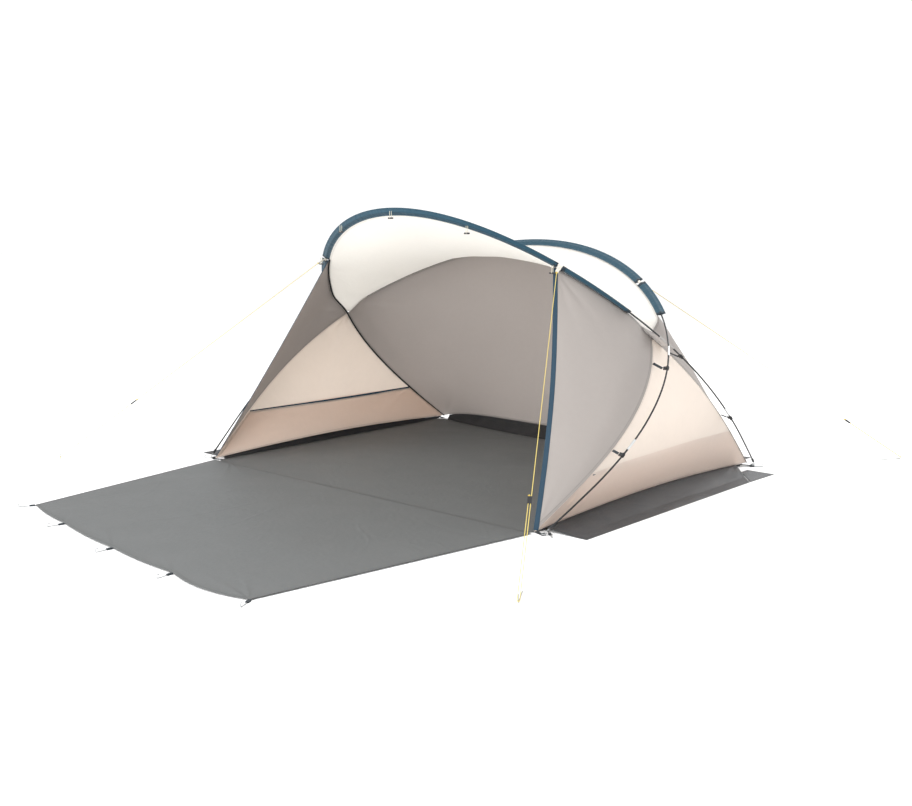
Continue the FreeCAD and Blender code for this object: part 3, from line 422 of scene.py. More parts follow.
    def side_rows(self, inside: float, first: float, rows: int, columns: int) -> Array:
        """The right side panel below a height.

        Each row is the straight line between the two legs' seams at one share of their
        lengths, with the hem's lift growing with the cube of the share, and the middle
        pushed inwards by a sine.

        Args:
            inside: How far the middle of each row is pushed towards the inside.
            first: The share of the legs at the top row.
            rows: The number of rows.
            columns: The number of columns.

        Returns:
            Points with shape (rows, columns, 3), from the front to the rear leg.
        """
        down = np.linspace(first, 1.0, rows)
        over = np.linspace(0.0, 1.0, columns)
        front = self.front_leg(down)[:, None, :]
        rear = self.rear_leg(down)[:, None, :]
        lines = front + (rear - front) * over[None, :, None]
        sag = PITCH.side_hem_lift * np.sin(math.pi * over)[None, :] * (down ** 3)[:, None]
        push = inside * np.sin(math.pi * over)[None, :] * np.ones((rows, 1))
        return lines + point(-push, 0.0, sag)

    def pocket_share(self) -> float:
        """How far down the legs the pocket's mouth is."""
        shares = np.linspace(0, 1, 4001)
        heights = self.front_leg(shares)[:, 2]
        return float(np.interp(-PITCH.pocket_height, -heights, shares))


def patch(top: Array, bottom: Array, left: Array, right: Array) -> Array:
    """A Coons patch: the two ruled surfaces added up, less the one through the corners.

    Args:
        top: The border at row 0, (columns, 3).
        bottom: The border at the last row, (columns, 3).
        left: The border at column 0, (rows, 3).
        right: The border at the last column, (rows, 3).

    Returns:
        Points with shape (rows, columns, 3).
    """
    down = np.linspace(0, 1, len(left))[:, None, None]
    over = np.linspace(0, 1, len(top))[None, :, None]
    ruled = top[None] * (1 - down) + bottom[None] * down
    ruled = ruled + left[:, None] * (1 - over) + right[:, None] * over
    upper = top[0] * (1 - over) + top[-1] * over
    lower = bottom[0] * (1 - over) + bottom[-1] * over
    return ruled - upper * (1 - down) - lower * down


# ---------------------------------------------------------------- folds in the cloth
@dataclass(frozen=True)
class Pull:
    """Folds that fan out over the cloth from a place where it is pulled.

    The height is a sum of folds, each a bell over the angle round the place, growing over
    the first centimetres and dying away with distance.
    """

    row: float
    column: float
    toward: tuple[float, float]
    fan: float = 0.5
    count: int = 7
    height: float = 0.005
    reach: float = 0.45


@dataclass(frozen=True)
class Folds:
    """How a cloth panel leaves its smooth shape."""

    seed: int
    pulls: tuple[Pull, ...] = ()
    swell: float = 0.003
    swell_size: float = 0.35
    creases: int = 0
    crease_height: float = 0.0006
    crease_width: float = 0.005
    fade: float = 0.05

    def height(self, grid: Array) -> Array:
        """The height of the folds over a grid, nothing at its borders.

        Args:
            grid: Points with shape (rows, columns, 3).

        Returns:
            Heights in metres, (rows, columns).
        """
        random = np.random.default_rng(self.seed)
        u, v = grid_lengths(grid)
        total = self._swells(u, v, random)
        for pull in self.pulls:
            total = total + self._fan(pull, u, v, random)
        if self.creases:
            total = total + self._creases(u, v, random)
        return total * smooth(border_distance(grid) / self.fade)

    def _swells(self, u: Array, v: Array, random: np.random.Generator) -> Array:
        """Soft swells: a dozen long waves in all directions, added up."""
        waves = 12
        angle = random.uniform(0, TAU, (waves, 1, 1))
        size = random.uniform(0.6, 1.7, (waves, 1, 1)) * self.swell_size
        start = random.uniform(0, TAU, (waves, 1, 1))
        phase = (u[None] * np.cos(angle) + v[None] * np.sin(angle)) / size * TAU + start
        return self.swell * np.sin(phase).sum(axis=0) / math.sqrt(waves)

    def _fan(self, pull: Pull, u: Array, v: Array, random: np.random.Generator) -> Array:
        """Folds that fan out from one pull."""
        rows, columns = u.shape
        row = round(pull.row * (rows - 1))
        column = round(pull.column * (columns - 1))
        du = u - u[row, column]
        dv = v - v[row, column]
        far = np.hypot(du, dv)
        angle = np.arctan2(dv, du) - math.atan2(pull.toward[1], pull.toward[0])
        angle = (angle + math.pi) % TAU - math.pi
        count = pull.count
        at = np.linspace(-pull.fan, pull.fan, count) + random.uniform(-0.5, 0.5, count) * (
            pull.fan / count)
        wide = random.uniform(0.35, 0.7, count) * 2 * pull.fan / count
        tall = random.uniform(0.45, 1.0, count) * pull.height
        tall = tall * np.where(np.arange(count) % 2, 1.0, -0.7)
        reach = random.uniform(0.6, 1.2, count) * pull.reach
        bells = np.exp(-((angle[None] - at[:, None, None]) / wide[:, None, None]) ** 2)
        dying = np.exp(-far[None] / reach[:, None, None]) * smooth(far / 0.06)[None]
        return (tall[:, None, None] * bells * dying).sum(axis=0)

    def _creases(self, u: Array, v: Array, random: np.random.Generator) -> Array:
        """Short sharp creases from handling: ridges with straight sides, ends eased off."""
        total = np.zeros_like(u)
        low = np.array([u.min(), v.min()])
        high = np.array([u.max(), v.max()])
        for place in random.uniform(low, high, (self.creases, 2)):
            angle = random.uniform(0, math.pi)
            length = random.uniform(0.06, 0.34)
            wide = self.crease_width * random.uniform(0.7, 2.2)
            tall = self.crease_height * random.uniform(-1.0, 1.4)
            along = (u - place[0]) * math.cos(angle) + (v - place[1]) * math.sin(angle)
            aside = (v - place[1]) * math.cos(angle) - (u - place[0]) * math.sin(angle)
            aside = aside + 0.02 * np.sin(along / length * 3 + angle)
            total = total + tall * np.exp(-np.abs(aside) / wide) * np.exp(
                -(along / length) ** 4)
        return total

    def on(self, grid: Array) -> Array:
        """The grid with the folds added along its normals."""
        return grid + grid_normals(grid) * self.height(grid)[..., None]


# ---------------------------------------------------------------- finishes
def linear(code: str) -> tuple[float, float, float, float]:
    """A colour for a shader from its six-figure code: ((c + 0.055) / 1.055) ^ 2.4."""
    values = [int(code[i:i + 2], 16) / 255 for i in (0, 2, 4)]
    red, green, blue = [c / 12.92 if c <= 0.04045 else ((c + 0.055) / 1.055) ** 2.4
                        for c in values]
    return red, green, blue, 1.0


class Nodes:
    """A short way to write a material's nodes and links."""

    def __init__(self, name: str) -> None:
        """Starts an empty node material."""
        self.material = bpy.data.materials.new(name)
        self.material.use_nodes = True
        self.tree = self.material.node_tree
        self.tree.nodes.clear()
        self.output = self.add("ShaderNodeOutputMaterial")

    def add(self, kind: str, settings: Optional[dict] = None, **inputs: object) -> bpy.types.Node:
        """Adds one node.

        Args:
            kind: The node's type.
            settings: Its own settings, by name.
            inputs: Values or sockets for its inputs; _ in a name stands for a space, and
                a name such as i0 is an input's number.

        Returns:
            The new node.
        """
        node = self.tree.nodes.new(kind)
        for key, value in (settings or {}).items():
            setattr(node, key, value)
        for key, value in inputs.items():
            numbered = key[0] == "i" and key[1:].isdigit()
            socket = node.inputs[int(key[1:]) if numbered else key.replace("_", " ")]
            if isinstance(value, bpy.types.NodeSocket):
                self.tree.links.new(value, socket)
            elif socket.type == "VECTOR" and isinstance(value, tuple):
                socket.default_value = value[:3]
            else:
                socket.default_value = value
        return node

    def math(self, operation: str, first: object, second: object = 0.0) -> object:
        """A sum of one operation on two values or sockets."""
        return self.add("ShaderNodeMath", {"operation": operation}, i0=first,
                        i1=second).outputs[0]

    def noise(self, vector: object, scale: float, detail: float = 2.0) -> object:
        """A soft noise between 0 and 1."""
        return self.add("ShaderNodeTexNoise", Vector=vector, Scale=scale,
                        Detail=detail).outputs["Fac"]

    def blend(self, share: object, first: object, second: object) -> object:
        """A mix of two colours."""
        node = self.add("ShaderNodeMix", {"data_type": "RGBA"}, i0=share, i6=first, i7=second)
        return node.outputs[2]

    def shaded(self, colour: object, by: object, amount: float) -> object:
        """A colour made lighter and darker by a value between 0 and 1."""
        factor = self.math("ADD", self.math("MULTIPLY", by, 2 * amount), 1 - amount)
        both = self.add("ShaderNodeVectorMath", {"operation": "SCALE"}, i0=colour, Scale=factor)
        return both.outputs[0]


class Finish:
    """A surface finish. Each is made once and shared."""

    made: dict = {}

    def material(self) -> bpy.types.Material:
        """The finish's material."""
        key = repr(self)
        if key not in Finish.made:
            Finish.made[key] = self.make()
        return Finish.made[key]

    def make(self) -> bpy.types.Material:
        """Builds the material's nodes."""
        raise NotImplementedError


@dataclass(frozen=True)
class Cloth(Finish):
    """Coated polyester: a fine plain weave, a hem with a row of stitches, some light through."""

    name: str
    colour: str
    through: float = 0.25
    roughness: float = 0.72
    sheen: float = 0.12
    weave: float = 0.0011
    hem: float = 0.014
    thread: str = "8A8784"
    mottle: float = 0.035
    inner: Optional[str] = None
    split: float = 0.0

    def make(self) -> bpy.types.Material:
        """Weave and creases in the bump; hem, thread and faint unevenness in the colour."""
        n = Nodes(self.name)
        uv = n.add("ShaderNodeUVMap", {"uv_map": "cloth"}).outputs[0]
        flat = n.add("ShaderNodeSeparateXYZ", Vector=uv)
        u, v = flat.outputs[0], flat.outputs[1]
        edge = n.add("ShaderNodeAttribute", {"attribute_name": "edge"}).outputs["Fac"]
        turns = TAU / self.weave
        warp = n.math("SINE", n.math("MULTIPLY", u, turns))
        weft = n.math("SINE", n.math("MULTIPLY", v, turns))
        weave = n.math("MULTIPLY", warp, weft)
        slub = n.noise(uv, 34.0, 3.0)
        cloudy = n.noise(uv, 2.3, 2.0)
        colour: object = linear(self.colour)
        if self.inner:
            down = n.add("ShaderNodeAttribute", {"attribute_name": "down"}).outputs["Fac"]
            second = n.math("GREATER_THAN", down, self.split)
            colour = n.blend(second, linear(self.colour), linear(self.inner))
        colour = n.shaded(colour, cloudy, self.mottle)
        colour = n.shaded(colour, slub, 0.02)
        in_hem = n.math("LESS_THAN", edge, self.hem)
        colour = n.shaded(colour, n.math("SUBTRACT", 1.0, in_hem), 0.035)
        from_row = n.math("ABSOLUTE", n.math("SUBTRACT", edge, self.hem * 0.8))
        on_row = n.math("LESS_THAN", from_row, 0.0006)
        dash = n.math("LESS_THAN", n.math("FRACT", n.math("MULTIPLY", n.math("ADD", u, v),
                                                          1 / 0.0045)), 0.68)
        stitch = n.math("MULTIPLY", on_row, dash)
        colour = n.blend(stitch, colour, linear(self.thread))
        height = n.math("ADD", n.math("MULTIPLY", weave, 0.00005),
                        n.math("MULTIPLY", in_hem, 0.0006))
        height = n.math("ADD", height, n.math("MULTIPLY", slub, 0.0006))
        height = n.math("ADD", height, n.math("MULTIPLY", stitch, 0.0004))
        bump = n.add("ShaderNodeBump", Strength=1.0, Distance=1.0, Height=height)
        body = n.add("ShaderNodeBsdfPrincipled", Base_Color=colour, Roughness=self.roughness,
                     Normal=bump.outputs[0])
        body.inputs["Sheen Weight"].default_value = self.sheen
        body.inputs["Specular IOR Level"].default_value = 0.3
        glow = n.add("ShaderNodeBsdfTranslucent", Color=colour)
        both = n.add("ShaderNodeMixShader", Fac=self.through, i1=body.outputs[0],
                     i2=glow.outputs[0])
        n.tree.links.new(both.outputs[0], n.output.inputs[0])
        return n.material


@dataclass(frozen=True)
class GroundCloth(Finish):
    """Coated woven floor cloth: coarser weave, a slight plastic gloss and rubbed patches."""

    name: str
    colour: str
    weave: float = 0.0024
    roughness: float = 0.55
    hem: float = 0.018
    mottle: float = 0.07

    def make(self) -> bpy.types.Material:
        """A basket weave and crumples in the bump; rubbed patches in the colour and the gloss, and
        painted shade in the crumples' hollows.
        """
        n = Nodes(self.name)
        uv = n.add("ShaderNodeUVMap", {"uv_map": "cloth"}).outputs[0]
        flat = n.add("ShaderNodeSeparateXYZ", Vector=uv)
        u, v = flat.outputs[0], flat.outputs[1]
        edge = n.add("ShaderNodeAttribute", {"attribute_name": "edge"}).outputs["Fac"]
        turns = TAU / self.weave
        weave = n.math("MULTIPLY", n.math("SINE", n.math("MULTIPLY", u, turns)),
                       n.math("SINE", n.math("MULTIPLY", v, turns)))
        scuff = n.noise(uv, 5.0, 6.0)
        streak = n.noise(n.add("ShaderNodeMapping", Vector=uv, Scale=(3.0, 26.0, 1.0)).outputs[0],
                         1.0, 4.0)
        crumple_and_shade = n.noise(uv, 42.0, 5.0)
        colour = n.shaded(linear(self.colour), scuff, self.mottle)
        colour = n.shaded(colour, streak, 0.05)
        # painted shade: the crumples' hollows darker and their ridges lighter, from the same noise
        # as their bump
        colour = n.shaded(colour, crumple_and_shade, 0.04)
        in_hem = n.math("LESS_THAN", edge, self.hem)
        colour = n.shaded(colour, n.math("SUBTRACT", 1.0, in_hem), 0.05)
        from_row = n.math("ABSOLUTE", n.math("SUBTRACT", edge, self.hem * 0.8))
        on_row = n.math("LESS_THAN", from_row, 0.0007)
        height = n.math("ADD", n.math("MULTIPLY", weave, 0.00012),
                        n.math("MULTIPLY", in_hem, 0.0008))
        height = n.math("ADD", height, n.math("MULTIPLY", crumple_and_shade, 0.0016))
        height = n.math("SUBTRACT", height, n.math("MULTIPLY", on_row, 0.0005))
        bump = n.add("ShaderNodeBump", Strength=1.0, Distance=1.0, Height=height)
        gloss = n.math("ADD", n.math("MULTIPLY", scuff, 0.18), self.roughness - 0.09)
        body = n.add("ShaderNodeBsdfPrincipled", Base_Color=colour, Roughness=gloss,
                     Normal=bump.outputs[0])
        body.inputs["Specular IOR Level"].default_value = 0.4
        n.tree.links.new(body.outputs[0], n.output.inputs[0])
        return n.material


@dataclass(frozen=True)
class Webbing(Finish):
    """Woven tape: ribs across it, on the piece's own UV or on Object coordinates."""

    name: str
    colour: str
    rib: float = 0.0016
    on_uv: bool = True
    roughness: float = 0.8

    def make(self) -> bpy.types.Material:
        """Ribs in the bump and in the colour, with lighter worn places."""
        n = Nodes(self.name)
        if self.on_uv:
            place = n.add("ShaderNodeUVMap", {"uv_map": "cloth"}).outputs[0]
        else:
            place = n.add("ShaderNodeTexCoord").outputs["Object"]
        flat = n.add("ShaderNodeSeparateXYZ", Vector=place)
        rib = n.math("SINE", n.math("MULTIPLY", flat.outputs[0], TAU / self.rib))
        cross = n.math("SINE", n.math("MULTIPLY", flat.outputs[1], TAU / self.rib / 2))
        weave = n.math("MULTIPLY", rib, n.math("ADD", n.math("MULTIPLY", cross, 0.5), 0.7))
        worn = n.noise(place, 60.0, 4.0)
        colour = n.shaded(linear(self.colour), n.math("ADD", n.math("MULTIPLY", weave, 0.5),
                                                      0.5), 0.12)
        colour = n.shaded(colour, worn, 0.15)
        bump = n.add("ShaderNodeBump", Strength=0.8, Distance=0.0003, Height=weave)
        body = n.add("ShaderNodeBsdfPrincipled", Base_Color=colour, Roughness=self.roughness,
                     Normal=bump.outputs[0])
        n.tree.links.new(body.outputs[0], n.output.inputs[0])
        return n.material


@dataclass(frozen=True)
class Braid(Finish):
    """Braided cord: two sets of strands that wind opposite ways, with a fleck of a second yarn."""

    name: str
    colour: str
    fleck: str = "C9A23C"
    pitch: float = 0.006

    def make(self) -> bpy.types.Material:
        """Strands from the length along the cord (u, metres) and the turn round it (v, 0-1)."""
        n = Nodes(self.name)
        uv = n.add("ShaderNodeUVMap", {"uv_map": "cloth"}).outputs[0]
        flat = n.add("ShaderNodeSeparateXYZ", Vector=uv)
        along = n.math("MULTIPLY", flat.outputs[0], TAU / self.pitch)
        round_it = n.math("MULTIPLY", flat.outputs[1], TAU * 4)
        one = n.math("SINE", n.math("ADD", along, round_it))
        two = n.math("SINE", n.math("SUBTRACT", along, round_it))
        strands = n.math("MAXIMUM", one, two)
        flecked = n.math("GREATER_THAN", n.math("SINE", n.math("ADD", n.math(
            "MULTIPLY", flat.outputs[0], TAU / 0.024), n.math("MULTIPLY", flat.outputs[1], TAU))),
            0.86)
        colour = n.blend(flecked, linear(self.colour), linear(self.fleck))
        colour = n.shaded(colour, n.math("ADD", n.math("MULTIPLY", strands, 0.5), 0.5), 0.1)
        bump = n.add("ShaderNodeBump", Strength=0.7, Distance=0.0004, Height=strands)
        body = n.add("ShaderNodeBsdfPrincipled", Base_Color=colour, Roughness=0.7,
                     Normal=bump.outputs[0])
        n.tree.links.new(body.outputs[0], n.output.inputs[0])
        return n.material


@dataclass(frozen=True)
class Solid(Finish):
    """A hard finish: moulded plastic, glass-fibre rod, steel or aluminium."""

    name: str
    colour: str
    metallic: float = 0.0
    roughness: float = 0.4
    grain: float = 90.0
    relief: float = 0.0001
    uneven: float = 0.08
    stretch: tuple[float, float, float] = (1.0, 1.0, 1.0)

    def make(self) -> bpy.types.Material:
        """A fine grain in bump, colour and gloss, on Object coordinates."""
        n = Nodes(self.name)
        place = n.add("ShaderNodeTexCoord").outputs["Object"]
        place = n.add("ShaderNodeMapping", Vector=place, Scale=self.stretch).outputs[0]
        grain = n.noise(place, self.grain, 4.0)
        patch_of = n.noise(place, self.grain / 9, 3.0)
        colour = n.shaded(linear(self.colour), patch_of, self.uneven)
        rough = n.math("ADD", n.math("MULTIPLY", grain, 0.16), self.roughness - 0.08)
        bump = n.add("ShaderNodeBump", Strength=0.6, Distance=self.relief, Height=grain)
        body = n.add("ShaderNodeBsdfPrincipled", Base_Color=colour, Roughness=rough,
                     Normal=bump.outputs[0])
        body.inputs["Metallic"].default_value = self.metallic
        n.tree.links.new(body.outputs[0], n.output.inputs[0])
        return n.material


class Finishes(Enum):
    """Every finish on the shelter."""

    ROOF = Cloth("roof_cloth", "F7F5F1", through=0.52, thread="DED9D2")
    GREY = Cloth("grey_canopy_cloth", "BDB7B3", through=0.5)
    GUSSET = Cloth("light_grey_cloth", "CBC7C4", through=0.45, hem=0.006)
    CREAM = Cloth("cream_side_cloth", "F6EEE6", through=0.5, inner="EEE3DA", thread="D2C5B8")
    POCKET = Cloth("pocket_cloth", "F5E8DD", through=0.5, thread="C8B5A5")
    SLEEVE = Cloth("sleeve_cloth", "1F4252", through=0.04, hem=0.005, thread="6E8894",
                   roughness=0.6)
    SLEEVE_HEM = Cloth("sleeve_hem_cloth", "1D2B34", through=0.02, hem=0.004, thread="45545E")
    FLOOR = GroundCloth("floor_cloth", "565858")
    # painted shade: the hem wall's own dark cloth darkened to near black for the shadow under the
    # canopy's hem
    WALL_AND_SHADE = GroundCloth("hem_wall_painted_shade_cloth", "222325")
    SKIRT = GroundCloth("skirt_cloth", "343537")
    SKIRT_CORNER = GroundCloth("skirt_corner_cloth", "4E5052")
    BINDING = Webbing("blue_binding", "1E3A4C")
    SEAM_TAPE = Webbing("dark_seam_tape", "23282D")
    PALE_TAPE = Webbing("pale_webbing", "DAD5CA", on_uv=False)
    DARK_TAPE = Webbing("dark_webbing", "2B3136", on_uv=False)
    ELASTIC = Webbing("elastic_cord", "CFCBB8", on_uv=False, rib=0.0012)
    GUY = Braid("guy_cord", "C9B562")
    ROD = Solid("glass_fibre_rod", "17181A", roughness=0.32, grain=140.0,
                stretch=(1.0, 1.0, 0.2))
    SILVER = Solid("ferrule_metal", "D9DBDC", metallic=0.9, roughness=0.3, grain=300.0)
    STEEL = Solid("galvanised_steel", "A9ABAC", metallic=0.95, roughness=0.38, grain=220.0,
                  uneven=0.14)
    PLASTIC = Solid("black_plastic", "1B1C1E", roughness=0.5, grain=160.0)
    TOGGLE = Solid("toggle_plastic", "2A2C2F", roughness=0.45, grain=160.0)
    STUDIO = Solid("studio_white", "F4F4F4", roughness=0.9, grain=1.0, uneven=0.0)


# ---------------------------------------------------------------- meshes
def put(name: str, points: Array, faces: Array, finish: Finishes, body: str = "root",
        uv: Optional[Array] = None, attributes: Optional[dict] = None) -> bpy.types.Object:
    """Makes a piece from arrays.

    Args:
        name: The piece's name.
        points: Its points, (n, 3), in metres.
        faces: Its quads, (m, 4).
        finish: Its finish.
        body: The body that it rides on.
        uv: One pair of metres for each point.
        attributes: Numbers for each point, by name.

    Returns:
        The new object.
    """
    mesh = bpy.data.meshes.new(name)
    mesh.from_pydata(points.tolist(), [], faces.tolist())
    mesh.polygons.foreach_set("use_smooth", np.ones(len(mesh.polygons), bool))
    if uv is not None:
        corner = np.zeros(len(mesh.loops), np.int32)
        mesh.loops.foreach_get("vertex_index", corner)
        layer = mesh.uv_layers.new(name="cloth")
        layer.data.foreach_set("uv", uv[corner].astype(np.float32).ravel())
    for key, values in (attributes or {}).items():
        made = mesh.attributes.new(key, "FLOAT", "POINT")
        made.data.foreach_set("value", np.asarray(values, np.float32).ravel())
    mesh.update()
    piece = bpy.data.objects.new(name, mesh)
    bpy.context.scene.collection.objects.link(piece)
    mesh.materials.append(finish.value.material())
    if body:
        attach(piece, body)
    return piece


def grid_faces(rows: int, columns: int, closed: bool = False) -> Array:
    """The quads of a grid, wrapped round from the last column to the first if closed."""
    last = columns if closed else columns - 1
    i, j = np.meshgrid(np.arange(rows - 1), np.arange(last), indexing="ij")
    after = (j + 1) % columns
    quads = [i * columns + j, i * columns + after, (i + 1) * columns + after,
             (i + 1) * columns + j]
    return np.stack(quads, axis=-1).reshape(-1, 4)


def thicken(piece: bpy.types.Object, thickness: float) -> None:
    """Gives a cloth its thickness, half to each side."""
    solid = piece.modifiers.new("cloth_thickness", "SOLIDIFY")
    solid.thickness = thickness
    solid.offset = 0.0
    solid.use_even_offset = False


def cloth(name: str, grid: Array, finish: Finishes, body: str = "root",
          thickness: float = 0.0009, down: Optional[Array] = None) -> bpy.types.Object:
    """A cloth panel on a grid, with its lengths as UV and its distance from the edge.

    Args:
        name: The piece's name.
        grid: Points with shape (rows, columns, 3).
        finish: Its finish.
        body: The body that it rides on.
        thickness: The cloth's thickness.
        down: A second number for each point, for cloth whose colour changes.

    Returns:
        The new object.
    """
    rows, columns = grid.shape[:2]
    u, v = grid_lengths(grid)
    numbers = {"edge": border_distance(grid)}
    if down is not None:
        numbers["down"] = down
    piece = put(name, grid.reshape(-1, 3), grid_faces(rows, columns), finish, body,
                np.stack([u, v], axis=-1).reshape(-1, 2), numbers)
    thicken(piece, thickness)
    return piece


def declare_sheet(piece: bpy.types.Object, grid: Array) -> None:
    """Declares a cloth at its cut size: the longest width and length over the cloth.

    A pointed cloth fills half of its box, so the length is never more than that allows.

    Args:
        piece: The cloth.
        grid: Its smooth shape, before any folds.
    """
    along = np.linalg.norm(np.diff(grid, axis=1), axis=-1).sum(axis=1).max()
    down = np.linalg.norm(np.diff(grid, axis=0), axis=-1).sum(axis=0).max()
    one = grid[:-1, 1:] - grid[:-1, :-1]
    two = grid[1:, :-1] - grid[:-1, :-1]
    area = float(np.linalg.norm(np.cross(one, two), axis=-1).sum())
    down = min(down, 2 * area / along)
    area = min(area, along * down)
    LOG.info("sheet %s: %.2f by %.2f m, %.2f square metres", piece.name, along, down, area)


def frames_along(path: Array) -> tuple[Array, Array, Array]:
    """Directions carried along a path without twist.

    Args:
        path: Points with shape (n, 3).

    Returns:
        The direction along, and two directions square to it, each (n, 3).
    """
    along = unit(np.gradient(path, axis=0))
    start = np.cross(along[0], UP)
    if np.linalg.norm(start) < 0.1:
        start = np.cross(along[0], np.array([1.0, 0.0, 0.0]))
    sides = [unit(start)]
    for direction in along[1:]:
        side = sides[-1] - direction * float(sides[-1] @ direction)
        sides.append(unit(side))
    side = np.array(sides)
    return along, side, np.cross(along, side)


def carried(name: str, path: Array, profile: Array, across: Array, lift: Array,
            finish: Finishes, body: str = "root") -> bpy.types.Object:
    """A closed profile carried along a path, with its ends closed by shrinking them.

    A point is path + across * x + lift * y, for each point (x, y) of the profile.

    Args:
        name: The piece's name.
        path: Points of the path, (n, 3).
        profile: Points of the profile, (m, 2) or one for each path point, (n, m, 2).
        across: The profile's x direction at each path point.
        lift: The profile's y direction at each path point.
        finish: The piece's finish.
        body: The body that it rides on.

    Returns:
        The new object.
    """
    count = len(path)
    profile = np.broadcast_to(profile, (count,) + profile.shape[-2:])
    rings = (path[:, None] + across[:, None] * profile[..., :1]
             + lift[:, None] * profile[..., 1:])
    middle_first = rings[0].mean(axis=0)
    middle_last = rings[-1].mean(axis=0)
    rings = np.concatenate([[middle_first + (rings[0] - middle_first) * 0.02], rings,
                            [middle_last + (rings[-1] - middle_last) * 0.02]])
    lengths = np.concatenate([[0.0], np.cumsum(np.linalg.norm(np.diff(path, axis=0), axis=1))])
    lengths = np.concatenate([[0.0], lengths, lengths[-1:]])
    sides = profile.shape[1]
    turn = np.arange(sides) / sides
    uv = np.stack(np.broadcast_arrays(lengths[:, None], turn[None, :]), axis=-1)
    faces = grid_faces(count + 2, sides, closed=True)
    return put(name, rings.reshape(-1, 3), faces, finish, body, uv.reshape(-1, 2))


def circle(radius: float, sides: int) -> Array:
    """A circle's points, turning so that faces made with them point outwards."""
    turn = -np.arange(sides) / sides * TAU
    return np.stack([radius * np.cos(turn), radius * np.sin(turn)], axis=-1)


def flat_profile(width: float, thickness: float, sides: int = 16) -> Array:
    """A rounded rectangle: a superellipse of the fourth power."""
    turn = -np.arange(sides) / sides * TAU
    x = np.sign(np.cos(turn)) * np.abs(np.cos(turn)) ** 0.5 * width / 2
    y = np.sign(np.sin(turn)) * np.abs(np.sin(turn)) ** 0.5 * thickness / 2
    return np.stack([x, y], axis=-1)


def tape(name: str, path: Array, across: Array, width: float, thickness: float,
         finish: Finishes, body: str = "root") -> bpy.types.Object:
    """A flat tape along a path.

    Args:
        name: The piece's name.
        path: Points of its middle line, (n, 3).
        across: The direction across the tape at each point.
        width: The tape's width.
        thickness: The tape's thickness.
        finish: The piece's finish.
        body: The body that it rides on.

    Returns:
        The new object.
    """
    along = unit(np.gradient(path, axis=0))
    across = unit(across - along * np.sum(across * along, axis=-1, keepdims=True))
    lift = np.cross(along, across)
    return carried(name, path, flat_profile(width, thickness), across, lift, finish, body)


def tube(name: str, path: Array, radius: float, finish: Finishes, body: str = "root",
         sides: int = 12) -> bpy.types.Object:
    """A round cord along a path."""
    _, side, lift = frames_along(path)
    return carried(name, path, circle(radius, sides), side, lift, finish, body)


def dress(finish: Finishes, *nodes: str) -> None:
    """Gives the frame's own nodes a finish."""
    for name in nodes:
        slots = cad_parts[name].data.materials
        slots.clear()
        slots.append(finish.value.material())
        LOG.info("node %s: %s", name, finish.name.lower())


# ---------------------------------------------------------------- sub-assemblies
@dataclass
class Poles:
    """The two bent poles with their ferrules, tips, pins and elastic cords."""

    def build(self) -> None:
        """Gives the hard parts their finishes."""
        dress(Finishes.ROD, "front_pole", "rear_pole")
        dress(Finishes.SILVER, "pole_ferrules")
        dress(Finishes.ELASTIC, "pole_shock_cords")
        dress(Finishes.PLASTIC, "pole_tips")
        dress(Finishes.STEEL, "corner_pins", "corner_rings")


